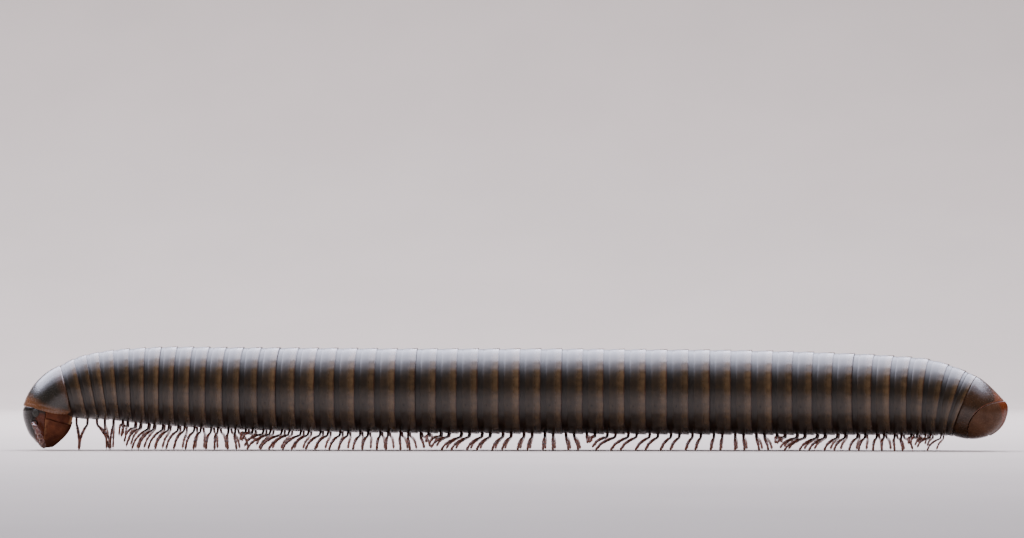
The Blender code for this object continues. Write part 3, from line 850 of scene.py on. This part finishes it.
@dataclass(frozen=True)
class Collum:
    """The neck shield: a plate swept about the lowest point of the first joint, over a soft neck."""

    spine: Spine
    rear_lean: float = 13.2
    front_lean: float = 75.5
    wedge_leans: Pair = (14.0, 70.0)
    reaches: Pair = (8.5, 7.85)
    half_widths: Pair = (5.1, 4.7)
    lobe_turn: float = 134.0
    lobe_start: float = 0.70
    corner: float = 18.0
    rear_corner: float = 3.0
    side_radius: float = 5.0
    thickness: float = 0.4
    neck_size: float = 0.90
    throat_size: float = 0.965
    rows: int = 64
    columns: int = 121

    def hinge(self) -> Array:
        """The lowest point of the first joint, half a seam toward the head."""
        return self.spine.belly(np.array(0.0)) + SEAM / 2 * leaning(self.wedge_leans[0] + 90)

    def surface(self, leans: Array, turns: Array, size: float | Array) -> Array:
        """Points of the wedge: half ellipses that stand on the hinge and sweep with the lean.

        Args:
            leans: Lean of the half ellipse toward the head, in degrees, by row and column.
            turns: Turn on it from its top, in radians.
            size: Its size about its own middle.

        Returns:
            Points by row and column.
        """
        part = (leans - self.wedge_leans[0]) / (self.wedge_leans[1] - self.wedge_leans[0])
        reach = self.reaches[0] + (self.reaches[1] - self.reaches[0]) * part * (2 - part)
        width = self.half_widths[0] + (self.half_widths[1] - self.half_widths[0]) * part
        power = np.where(np.cos(turns) < 0, BELLY_POWER, BACK_POWER)
        rise = reach / 2 * (1 + size * powered(np.cos(turns), power))
        outward = width * size * powered(np.sin(turns), power)
        return self.hinge() + rise[..., None] * leaning(leans) + outward[..., None] * ACROSS

    def shield(self) -> Shell:
        """The plate itself, with rounded lobes at its lower corners and a thin raised margin."""
        across = spread(-1, 1, self.columns)
        lobe = np.clip((np.abs(across) - self.lobe_start) / (1 - self.lobe_start), 0, 1)
        front = self.front_lean - self.corner * lobe**2.6
        rear = self.rear_lean + self.rear_corner * lobe**2
        leans = rear + (front - rear) * spread(0, 1, self.rows)[:, None]
        turns = math.radians(self.lobe_turn) * across
        base = self.surface(leans, turns, 1.0)
        from_hinge = np.linalg.norm((base - self.hinge())[..., (0, 2)], axis=-1)
        ahead, behind = np.radians(front - leans) * from_hinge, np.radians(leans - rear) * from_hinge
        side = (1 - np.abs(across)) * math.radians(self.lobe_turn) * self.side_radius
        edge = np.minimum(np.minimum(ahead, 0.55 * behind), side)
        lift = self.thickness * (rounded(edge, 0.20) - 1) - 0.04 * bell(ahead - 0.75, 0.14)
        width = 0.95 + 0.75 * ease(1.6, 0.4, np.abs(turns))
        margin = 1 - 0.5 * np.clip(np.minimum(ahead, side + 0.3) / width, 0, 2)
        marks = {"edge": margin, "rear": ease(30, 15, leans)}
        return Shell("collum_shield").sheet(base, normals(base, False), lift, self.thickness, **marks)

    def neck(self) -> Shell:
        """The soft body under the shield, a closed wedge a little smaller than it."""
        leans = np.linspace(self.wedge_leans[0] - 2.5, self.wedge_leans[1] - 1.0, 16)[:, None]
        turns = around(48)
        low = ease(math.radians(125), math.radians(155), from_top(turns))
        size = self.neck_size + (self.throat_size - self.neck_size) * low
        return Shell("neck").tube(self.surface(leans, turns, size), edge=0.0)


@dataclass(frozen=True)
class Skull:
    """The head's own form: level slices from the mouth up under the neck shield."""

    # Height, front, rear, half width
    slices: Array = table(
        (0.25, -72.00, -70.80, 1.70),
        (0.70, -72.45, -70.10, 2.30),
        (1.45, -73.25, -69.20, 3.00),
        (2.40, -73.95, -68.30, 3.60),
        (3.90, -74.60, -67.55, 4.15),
        (5.50, -74.95, -67.50, 4.40),
        (6.40, -74.86, -68.60, 4.30),
        (7.00, -74.40, -69.40, 3.85),
        (7.50, -73.75, -70.10, 3.25),
        (7.90, -73.00, -70.60, 2.50),
        (8.20, -72.25, -71.10, 1.30),
    )
    face_power: float = 2.2
    nape_power: float = 2.6
    seam_low: Pair = (-72.0, 0.3)
    seam_high: Pair = (-71.4, 6.9)
    throat: float = 1.6

    def seam_x(self, level: Array) -> Array:
        """The place of the cheek's front seam at each level, on a straight line in side view."""
        (x_low, low), (x_high, high) = self.seam_low, self.seam_high
        return x_low + (x_high - x_low) * (level - low) / (high - low)

    def turn_at_x(self, level: Array, x: Array) -> Array:
        """The turn from the front, in radians, at which a level slice has reached that x."""
        front, rear, _ = smooth(self.slices, level)
        part = np.clip(((front + rear) / 2 - x) / ((rear - front) / 2), -1, 1)
        power = np.where(part < 0, self.nape_power, self.face_power)
        return np.arccos(np.sign(part) * np.abs(part) ** (power / 2))

    def turn_at_throat(self, level: Array) -> Array:
        """The turn behind at which a level slice comes in to the throat plate's edge."""
        part = np.clip(self.throat / smooth(self.slices, level)[2], 0, 1)
        return math.pi - np.arcsin(part ** (self.nape_power / 2))

    def surface(self, level: Array, turn: Array) -> Array:
        """Points of the level slices: squared ellipses about their middle, from the front round by +Y."""
        front, rear, half_width = smooth(self.slices, level)
        power = np.where(np.cos(turn) < 0, self.nape_power, self.face_power)
        x = (front + rear) / 2 - (rear - front) / 2 * powered(np.cos(turn), power)
        y = half_width * powered(np.sin(turn), power)
        return np.stack(np.broadcast_arrays(x, y, level), axis=-1)


@dataclass(frozen=True)
class Head:
    """The face capsule with its sockets and upper lip, the cheeks, the throat plate and the eyes."""

    skull: Skull = Skull()
    rows: int = 92
    front_columns: int = 72
    rear_columns: int = 26
    levels: Pair = (0.28, 8.2)
    cheek_inset: float = 0.36
    inner_gap: float = 0.05
    socket: tuple[float, float, float] = (-73.05, 3.58, 4.20)
    socket_radius: float = 0.46
    socket_depth: float = 0.34
    eye: Pair = (-72.95, 5.69)
    eye_radii: Pair = (0.55, 0.60)
    # Step along X for a step across the slanting eye
    eye_slant: float = 0.86
    eye_rim: float = 0.08
    lens_pitch: float = 0.155
    mouth_notch: float = 0.34
    # Relief across the upper lip: how far it stands out, its height, half height and half width
    lip_relief: tuple[tuple[float, float, float, float], ...] = (
        (-0.10, 1.55, 0.45, 1.9),
        (-0.06, 0.98, 0.07, 2.2),
        (0.05, 0.62, 0.22, 2.0),
    )
    # Pits above the lip: how far outward, height
    lip_pits: tuple[Pair, ...] = ((0.55, 1.75), (1.35, 1.85))
    # The lip's blunt teeth: how far outward each stands, and x, height and radius down one of them
    teeth: tuple[float, ...] = (-0.30, 0.0, 0.30)
    tooth: Array = table(
        (-72.0, 0.95, 0.13), (-71.92, 0.62, 0.12), (-71.86, 0.40, 0.08), (-71.84, 0.34, 0.02)
    )
    # Upper edge of the cheek plate in side view: x and height of the diagonal seam
    diagonal: Array = table((-72.3, 5.25), (-70.9, 4.40), (-69.6, 4.02), (-67.9, 3.75))
    cheek_front: float = -71.75
    cheek_length: float = 3.6
    cheek_foot: Pair = (0.32, 0.32)
    cheek_top: Pair = (6.75, 5.35)
    plate_gap: float = 0.02
    throat_levels: Pair = (0.34, 4.35)

    def half_turns(self, level: Array) -> Array:
        """Turns of the columns from the front to the nape, crowding at the cheek's seam."""
        seam = self.skull.turn_at_x(level, self.skull.seam_x(level))
        ahead = 1 - (1 - np.linspace(0, 1, self.front_columns)) ** 1.25
        behind = np.linspace(0, 1, self.rear_columns)[1:] ** 1.6
        return np.concatenate((seam * ahead, seam + (math.pi - seam) * behind), axis=1)

    def capsule(self) -> Shell:
        """The skull's surface with its relief, sunk behind the cheeks' seam, and the upper lip's teeth."""
        level = spread(*self.levels, self.rows)[:, None]
        half = self.half_turns(level)
        turn = np.concatenate((half, 2 * math.pi - half[:, -2:0:-1]), axis=1)
        grid = self.skull.surface(level, turn)
        x, y, z = np.moveaxis(grid, -1, 0)
        front = np.cos(turn) > 0
        lift = -self.cheek_inset * ease(-0.02, 0.10, x - self.skull.seam_x(z))
        lift -= 0.045 * bell(y, 0.06) * ease(4.2, 5.2, z) * front
        for out, height, half_height, half_width in self.lip_relief:
            lift += out * bell(z - height, half_height) * bell(y, half_width) * front
        for across, height in self.lip_pits:
            lift -= 0.05 * bell(np.hypot(np.abs(y) - across, z - height), 0.09) * front
        spot = np.linalg.norm(np.stack((x, np.abs(y), z), axis=-1) - self.socket, axis=-1)
        lift -= self.socket_depth * np.exp(-((spot / self.socket_radius) ** 4))
        lift += 0.08 * bell(spot - self.socket_radius - 0.16, 0.12)
        ahead, above = (x - self.eye[0]) / self.eye_slant, z - self.eye[1]
        half_length, half_height = np.array(self.eye_radii) + self.eye_rim
        lift -= 0.06 * bell(np.hypot(ahead / half_length, above / half_height) - 1, 0.12)
        pale = ease(-73.9, -72.1, x) * ease(6.8, 4.4, z) + 0.8 * ease(1.9, 0.7, z)
        notch = self.mouth_notch * np.exp(-((y / 0.62) ** 4)) * ease(1.1, 0.3, z) * front
        grid = grid + normals(grid, True) * lift[..., None]
        grid[..., 2] += notch
        shell = Shell("head_capsule").tube(grid, edge=np.clip(pale, 0, 1))
        tooth_x, tooth_z, radii = self.tooth.T
        for across in self.teeth:
            shell.tube(carried(midplane(tooth_x, tooth_z) + across * ACROSS, radii, 8), edge=1.0)
        return shell

    def cheek(self, side: Side) -> Shell:
        """The two plates of a mandible's base: the large lower one and the small one above and behind it."""
        shell = Shell(f"mandible_{side.label}_plates")
        self._cheek_plate(shell, side, (56, 44), self.cheek_foot, None)
        self._cheek_plate(shell, side, (30, 30), None, self.cheek_top)
        return shell

    def _cheek_plate(
        self, shell: Shell, side: Side, counts: tuple[int, int], low: Pair | None, high: Pair | None
    ) -> None:
        """Adds a plate that follows the skull from the front seam back to the throat.

        Its lower and upper edges run from a front level to a rear one, or along the diagonal seam, which
        each plate keeps a fiftieth of a millimetre clear of.

        Args:
            shell: The piece that it joins.
            side: The side of the head.
            counts: Its rows and columns of points.
            low: Levels of its lower edge in front and behind, or None for the diagonal seam.
            high: Levels of its upper edge, or None for the diagonal seam.
        """
        up, across = spread(0, 1, counts[0])[:, None], spread(0, 1, counts[1])
        diagonal = np.interp(self.cheek_front + self.cheek_length * across, *self.diagonal.T)
        bottom = diagonal + self.plate_gap if low is None else low[0] + (low[1] - low[0]) * across
        top = diagonal - self.plate_gap if high is None else high[0] + (high[1] - high[0]) * across
        level = bottom + (top - bottom) * up
        first = self.skull.turn_at_x(level, self.skull.seam_x(level) + self.plate_gap)
        last = self.skull.turn_at_throat(level) - 0.02
        base = self.skull.surface(level, first + (last - first) * across)
        length, height = walked(base.swapaxes(0, 1))[-1][:, None], walked(base)[-1]
        to_edge = np.minimum(np.minimum(across, 1 - across) * length, np.minimum(up, 1 - up) * height)
        lift = self.cheek_inset * (rounded(to_edge, 0.13) - 1) + 0.06 * ease(0.1, 1.6, to_edge)
        # The upper plate pales toward its rear: its own paler margin, brightened as painted light on the
        # rear upper corner; the lower plate pales a little at its front
        pale = ease(0.55, 1.0, across) if low is None else 0.45 * ease(0.25, 0.0, across)
        depth = self.cheek_inset + self.inner_gap
        shell.sheet(base, normals(base, False), lift, depth, side.mirror, edge=pale)

    def throat(self) -> Shell:
        """The flat plate between the cheeks behind the mouth, with the grooves between its five parts."""
        foot, top = self.throat_levels
        level = spread(foot, top, 60)[:, None]
        half = math.pi - self.skull.turn_at_throat(level) - 0.03
        base = self.skull.surface(level, math.pi + half * spread(-1, 1, 41))
        y, z = base[..., 1], base[..., 2]
        to_edge = np.minimum(self.skull.throat - np.abs(y), np.minimum(z - foot, top - z))
        lift = self.cheek_inset * (rounded(to_edge, 0.14) - 1)
        lift -= 0.08 * bell(np.abs(y) - 0.15 - 0.22 * np.clip(z - 1.5, 0, 3), 0.05)
        lift -= 0.08 * bell(y, 0.045) * ease(1.7, 1.3, z)
        depth = self.cheek_inset + self.inner_gap
        return Shell("gnathochilarium_plate").sheet(base, normals(base, False), lift, depth, edge=0.0)

    def eye_patch(self, side: Side) -> Shell:
        """An oval field of small round lenses in a slanting lattice, which lies on the skull's surface.

        A lens stands out as a half sphere about the nearest point of a lattice of equal triangles.

        Args:
            side: The side of the head.

        Returns:
            The patch as a closed shell.
        """
        radius = np.concatenate((np.linspace(0.04, 0.96, 40), (1.0, 1.0)))[:, None]
        turn = around(112)
        u = radius * np.cos(turn) * self.eye_radii[0] * (1 - 0.12 * np.sin(turn))
        v = radius * np.sin(turn) * self.eye_radii[1]
        lens = np.sqrt(np.clip(1 - (self._to_lens(u, v) / (0.52 * self.lens_pitch)) ** 2, 0, 1))
        height = 0.09 * np.sqrt(np.clip(1 - radius**2, 0, 1)) + 0.055 * lens * ease(1.0, 0.93, radius)
        height[-1] = -0.3
        level = self.eye[1] + v
        turn_there = self.skull.turn_at_x(level, self.eye[0] - self.eye_slant * u)
        base = self.skull.surface(level, turn_there)
        grid = base + normals(base, True) * height[..., None]
        # The lens domes take the eye's lighter edge colour: partly their own grey, partly a painted glint
        return Shell(f"eye_{side.label}_lenses").tube(grid * side.mirror, edge=lens)

    def _to_lens(self, u: Array, v: Array) -> Array:
        """The distance to the nearest point of two interlaced grids, which make a lattice of triangles."""
        pitch, rise = self.lens_pitch, self.lens_pitch * math.sqrt(3)
        found = []
        for shift in (0.0, 0.5):
            du = u / pitch - shift - np.round(u / pitch - shift)
            dv = v / rise - shift - np.round(v / rise - shift)
            found.append(np.hypot(du * pitch, dv * rise))
        return np.minimum(*found)


@dataclass(frozen=True)
class Antenna:
    """A jointed antenna that hangs from its socket beside the cheek."""

    # Number of the joint, x, outward, height, half thickness
    joints: Array = table(
        (0, -73.05, 3.50, 4.20, 0.30),
        (1, -73.20, 4.35, 3.95, 0.37),
        (2, -72.85, 4.80, 3.35, 0.40),
        (3, -72.50, 4.88, 2.55, 0.41),
        (4, -72.20, 4.80, 1.85, 0.41),
        (5, -71.95, 4.62, 1.20, 0.40),
        (6, -71.72, 4.45, 0.70, 0.35),
        (7, -71.62, 4.36, 0.38, 0.22),
    )
    # A segment from its waist to its swollen far end: part of its length, part of its half thickness
    club: Array = table(
        (0.02, 0.60), (0.10, 0.66), (0.30, 0.82), (0.55, 0.96), (0.76, 1.02), (0.90, 0.96), (0.98, 0.74)
    )
    widest: int = 4
    sides: int = 18
    hairs: int = 9
    hair_out: float = 0.10
    hair_ahead: float = 0.26
    hair_radii: tuple[float, float, float] = (0.018, 0.013, 0.004)

    def shell(self, side: Side) -> Shell:
        """The antenna, with short bristles round the swollen end of each segment but the first."""
        part, swell = self.club.T
        count = len(self.joints) - 1
        places = (np.arange(count)[:, None] + part).ravel()
        values = smooth(self.joints, places)
        path, radii = values[:3].T * side.mirror, values[3] * np.tile(swell, count)
        joint = np.tile(1 - ease(0.60, 0.80, swell), count)[:, None]
        shell = Shell(f"antenna_{side.label}_segments")
        shell.tube(carried(path, radii, self.sides), edge=joint, along=0.75 * places[:, None] / count)
        rows = np.arange(1, count) * len(part) + self.widest
        direction = unit(np.gradient(path, axis=0))[rows]
        out = spokes(direction, self.hairs)
        root = path[rows][:, None] + out * (radii[rows] * 0.9)[:, None, None]
        tip = root + out * self.hair_out + direction[:, None] * self.hair_ahead
        hair = np.stack((root, (root + tip) / 2 + out * 0.02, tip), axis=-2).reshape(-1, 3, 3)
        grids = carried(hair, np.broadcast_to(self.hair_radii, hair.shape[:2]), 3)
        shell.tubes(grids, edge=1.0, along=1.0)
        return shell


@dataclass(frozen=True)
class Tail:
    """The last segment with its blunt dorsal point, the two valves that close it and the scale below."""

    axis_start: Pair = (68.77, 6.67)
    slope: float = 16.0
    length: float = 6.12
    rise: float = 4.93
    drop: float = 4.78
    crest_fall: float = 0.634
    crest_power: float = 1.355
    half_width: float = 4.75
    valve_centre: Pair = (7.1, -2.9)
    valve_radius: float = 5.65
    valve_depth: float = 0.75
    half_slit: float = 0.02
    scale_level: float = -3.25
    scale_depth: float = 0.5
    seam_part: float = 0.012
    joint_lean: float = 22.2
    joint_gap: float = 0.42
    columns: int = 120

    def start(self) -> Array:
        """The place near the middle of the last joint where the axis starts."""
        return np.array((self.axis_start[0], 0.0, self.axis_start[1]))

    def level(self, part: Array | float, turn: Array) -> Array:
        """Height above the tail's axis at a part of its length and a turn from its top.

        Its top falls as 1 less a share of the part to a power and closes steeply at the end, and its
        bottom as the square root of 1 less the part squared.

        Args:
            part: Part of the tail's length.
            turn: Turn from the top, in radians.

        Returns:
            The height in millimetres.
        """
        part = np.clip(part, 0, 1)
        top = self.rise * (1 - self.crest_fall * part**self.crest_power) * np.cbrt(1 - part**24)
        bottom = self.drop * np.sqrt(1 - part**2)
        return (top - bottom) / 2 + (top + bottom) / 2 * np.cos(turn)

    def surface(self, part: Array, turn: Array) -> Array:
        """Points of the tail's skin at a part of its length and a turn from its top."""
        up = leaning(-self.slope)
        along = np.array((up[2], 0.0, -up[0]))
        out = self.half_width * np.sqrt(1 - np.clip(part, 0, 1) ** 2.6) * np.sin(turn)
        points = self.start() + (part * self.length)[..., None] * along
        return points + self.level(part, turn)[..., None] * up + out[..., None] * ACROSS

    def _solve(self, turn: Array, low: Array | float, before: Callable[[Array, Array], Array]) -> Array:
        """Halves spans of the length until the place where the skin crosses a bound is found on each turn.

        Args:
            turn: Turns from the top, in radians.
            low: Parts of the length to start from.
            before: Tells from parts of the length and heights which of them come before the bound.

        Returns:
            The parts of the length.
        """
        near, far = low + 0 * turn, 0.995 + 0 * turn
        for _ in range(40):
            middle = (near + far) / 2
            short = before(middle, self.level(middle, turn))
            near, far = np.where(short, middle, near), np.where(short, far, middle)
        return near

    def drum(self, turn: Array) -> Array:
        """Part of the length at which the ring gives way to the valves, on each turn."""

        def outside(part: Array, level: Array) -> Array:
            """Whether places lie outside the circle that the valves' rim follows in side view."""
            ahead, above = self.valve_centre
            return np.hypot(part * self.length - ahead, level - above) > self.valve_radius

        return self._solve(turn, 0.05, outside)

    def scale_end(self, turn: Array, low: Array) -> Array:
        """Part of the length at which the skin has risen to the scale's level, on each turn."""
        return self._solve(turn, low, lambda part, level: level < self.scale_level)

    def ring(self) -> Shell:
        """The ring, from under the last body ring's rim to its own lip round the valves."""
        turn = around(self.columns)
        slant = math.tan(math.radians(self.joint_lean - self.slope))
        first = (slant * self.level(0.0, turn) - self.joint_gap) / self.length
        grid = self.surface(first + (self.drum(turn) - first) * spread(0, 1, 56)[:, None], turn)
        outward = normals(grid, True)
        gone = walked(grid)
        left = gone[-1] - gone
        lift = 0.42 * (rounded(gone, 0.60) - 1) + 0.05 * (rounded(left, 0.12) - 1)
        grid = grid + outward * lift[..., None]
        fold = grid[-1:] - outward[-1] * 0.25
        whole = np.concatenate((grid, fold, fold - outward[-1] * 0.45))
        width = 0.14 + 2.0 * ease(0.9, 0.2, from_top(turn))
        pale = ease(2.3, 1.2, from_top(turn)) * np.clip(1 - 0.5 * left / width, 0, 1)
        return Shell("telson_ring").tube(whole, edge=np.vstack((pale, pale[-1:], pale[-1:])))

    def valve(self, side: Side) -> Shell:
        """One of the two bulging valves, with a thick lip along the slit between them."""
        turn = np.linspace(0.0, math.pi, 64)
        edge = self.drum(turn)
        edge = np.maximum(edge, self.scale_end(turn, edge)) + self.seam_part
        way = 1 - (1 - np.linspace(0, 1, 60)) ** 1.2
        base = self.surface(edge + (0.9995 - edge) * way[:, None], turn)
        outward = unit(base - self.start() - (1.5, 0.0, -1.0))
        y = np.abs(base[..., 1])
        lift = 0.07 * (rounded(walked(base), 0.12) - 1)
        lift += 0.10 * bell(y - 0.42, 0.26) - 0.30 * bell(y, 0.10)
        outer, inner = base + outward * lift[..., None], base - outward * self.valve_depth
        for face in (outer, inner):
            face[..., 1] = np.maximum(face[..., 1], self.half_slit)
        below_corner = base[0, 0, 2] - base[..., 2]
        red = np.maximum(ease(3.3, 1.3, np.hypot(y, 0.6 * below_corner)), ease(0.7, 0.3, y))
        shell = Shell(f"anal_valve_{side.label}_lipped")
        return shell.plate(outer * side.mirror, inner * side.mirror, edge=red)

    def scale(self) -> Shell:
        """The small blunt plate that closes the valves from below."""
        probe = np.linspace(0.0, math.pi, 720)
        first = probe[self.level(self.drum(probe), probe) < self.scale_level][0] + 0.02
        turn = spread(first, 2 * math.pi - first, 49)
        near = self.drum(turn) + self.seam_part
        far = self.scale_end(turn, near) - 0.008
        way = spread(0, 1, 20)[:, None]
        base = self.surface(near + (far - near) * way, turn)
        outward = unit(base - self.start() - LENGTHWISE)
        to_edge = np.minimum(way, 1 - way) * np.linalg.norm(base[-1] - base[0], axis=-1)
        lift = 0.14 * (rounded(to_edge, 0.16) - 1)
        return Shell("hypoproct_scale").sheet(base, outward, lift, self.scale_depth, edge=0.3)


@dataclass(frozen=True)
class Studio:
    """The pale floor and backdrop, the soft lights and the camera at the photograph's angle."""

    aim_x: float = -0.00015
    distance: float = 0.70
    height: float = 0.0107
    turn: float = 3.3
    tilt: float = 1.387
    lens: float = 161.2
    floor_tone: Colour = (0.37, 0.315, 0.26)
    # Soft lights that shine straight down: name, middle in metres, width and depth, watts
    skies: tuple[tuple[str, Colour, Pair, float], ...] = (
        ("sky", (-0.2, 0.55, 0.55), (1.4, 1.1), 54.0),
        ("fore sky", (-0.2, -0.14, 0.55), (1.4, 0.28), 3.5),
    )
    sky_tone: Colour = (0.78, 0.80, 1.0)
    room_tone: Colour = (0.95, 0.85, 0.70)
    room_strength: float = 0.12

    def camera(self) -> None:
        """Places the camera level with the animal's side, turned a little round it toward the tail."""
        data = bpy.data.cameras.new("camera")
        data.lens, data.sensor_width = self.lens, 36.0
        data.clip_start, data.clip_end = 0.01, 20.0
        camera = placed("camera", data)
        turn = math.radians(self.turn)
        back = (self.distance * math.sin(turn), -self.distance * math.cos(turn))
        camera.location = (self.aim_x + back[0], back[1], self.height)
        camera.rotation_euler = (math.radians(90 + self.tilt), 0.0, turn)
        bpy.context.scene.camera = camera

    def floor(self) -> None:
        """Lays the floor, which bends up into a backdrop far behind: a line, a quarter circle and a line."""
        bend = np.linspace(0, math.pi / 2, 17)
        y = np.concatenate(((-4.0, 0.98), 1.0 + 0.5 * np.sin(bend), (1.5,)))
        z = np.concatenate(((0.0, 0.0), 0.5 * (1 - np.cos(bend)), (3.0,)))
        x = np.array((-5.0, 5.0))
        grid = np.stack(np.broadcast_arrays(x, y[:, None], z[:, None]), axis=-1)
        data = bpy.data.meshes.new("floor")
        data.from_pydata(grid.reshape(-1, 3), [], quads(*grid.shape[:2], False).tolist())
        data.shade_smooth()
        bench = Bench("pale floor")
        grain = bench.rise(bench.noise(0.02, 3.0), 0.3, 0.7, 0.98, 1.02)
        bench.feed(bench.shader, {"Base Color": bench.tint(self.floor_tone, grain), "Roughness": 0.9})
        data.materials.append(bench.material)
        floor = placed("floor", data)

    def lights(self) -> None:
        """Hangs a broad light over and behind the animal, and fills softly from the front and all round."""
        for name, place, size, power in self.skies:
            data = bpy.data.lights.new(name, "AREA")
            data.shape = "RECTANGLE"
            data.size, data.size_y = size
            data.energy = power
            data.color = self.sky_tone
            placed(name, data).location = place
        world = bpy.data.worlds.new("studio")
        world.use_nodes = True
        background = world.node_tree.nodes["Background"]
        background.inputs["Color"].default_value = (*self.room_tone, 1.0)
        background.inputs["Strength"].default_value = self.room_strength
        bpy.context.scene.world = world

    def build(self) -> None:
        """Makes the camera, the floor and the lights."""
        self.camera()
        self.floor()
        self.lights()


# The front margin of the neck shield, and the neck beside it
AMBER = (0.158, 0.064, 0.025)


class Finish(Enum):
    """The finishes of the animal's plates, named for where they are used."""

    RING = RingChitin()
    LEG = JointedChitin("leg chitin", (0.17, 0.045, 0.024), (0.07, 0.018, 0.011), (0.24, 0.085, 0.045))
    # The antenna's light pinkish base tone is partly its own colour and partly a painted highlight spread
    # along it
    ANTENNA = JointedChitin("antenna chitin", (0.23, 0.115, 0.095), (0.11, 0.05, 0.04), (0.36, 0.22, 0.17))
    COLLUM = Chitin(
        "collum chitin",
        (0.022, 0.02, 0.016),
        (0.032, 0.025, 0.018),
        AMBER,
        coat=0.1,
        rear=(0.075, 0.038, 0.022),
    )
    NECK = Chitin("neck skin", (0.06, 0.03, 0.018), (0.04, 0.018, 0.01), AMBER, 0.4, 0.05, shine=0.1)
    FACE = Chitin("face chitin", (0.012, 0.012, 0.01), (0.02, 0.014, 0.01), (0.11, 0.026, 0.01), shine=0.22)
    # The cheek's pale edge colour is partly its own margin and partly painted light on the upper plate's
    # rear corner
    CHEEK = Chitin(
        "cheek chitin", (0.19, 0.066, 0.035), (0.1, 0.036, 0.023), (0.52, 0.27, 0.14), 0.34, shine=0.0
    )
    MOUTH = Chitin(
        "mouth plate chitin", (0.11, 0.03, 0.011), (0.07, 0.018, 0.008), (0.3, 0.12, 0.045), 0.5, shine=0.0
    )
    # The eye: near-black, with lens domes of a lighter grey that is partly their own tone and partly a
    # painted glint
    EYE = Chitin(
        "eye lenses",
        (0.008, 0.008, 0.007),
        (0.012, 0.012, 0.01),
        (0.045, 0.044, 0.036),
        roughness=0.16,
        grain_mm=0.0,
        coat=0.35,
        shine=0.25,
    )
    TAIL = Chitin(
        "tail chitin", (0.036, 0.018, 0.009), (0.06, 0.028, 0.013), (0.175, 0.058, 0.027), shine=0.4
    )
    VALVE = Chitin(
        "valve chitin", (0.115, 0.056, 0.032), (0.08, 0.038, 0.021), (0.15, 0.034, 0.01), shine=0.12
    )


def main() -> None:
    """Builds the studio and every piece, whose builds log their counts of faces."""
    logging.basicConfig(level=logging.INFO, format="%(name)s %(message)s")
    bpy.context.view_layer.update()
    Studio().build()
    looks = {finish: finish.value.material() for finish in Finish}
    spine = Spine()
    trunk, legs = Trunk(spine), Legs(spine)
    for number in range(1, RING_COUNT // RINGS_PER_LENGTH + 1):
        trunk.length(number).build(looks[Finish.RING], Slot.RING, f"trunk_{number}")
        legs.length(number).build(looks[Finish.LEG], Slot.RING, f"trunk_{number}")
    collum = Collum(spine)
    collum.shield().build(looks[Finish.COLLUM], Slot.COLLUM, "collum")
    collum.neck().build(looks[Finish.NECK], Slot.COLLUM, "collum")
    head = Head()
    head.capsule().build(looks[Finish.FACE], Slot.FACE, "head")
    head.throat().build(looks[Finish.MOUTH], Slot.CHEEK, "gnathochilarium")
    tail = Tail()
    tail.ring().build(looks[Finish.TAIL], Slot.TAIL, "telson")
    tail.scale().build(looks[Finish.VALVE], Slot.VALVE, "hypoproct")
    for side in Side:
        head.cheek(side).build(looks[Finish.CHEEK], Slot.CHEEK, f"mandible_{side.label}")
        head.eye_patch(side).build(looks[Finish.EYE], Slot.EYE, f"eye_{side.label}")
        Antenna().shell(side).build(looks[Finish.ANTENNA], Slot.ANTENNA, f"antenna_{side.label}")
        tail.valve(side).build(looks[Finish.VALVE], Slot.VALVE, f"anal_valve_{side.label}")


if __name__ == "__main__":
    main()
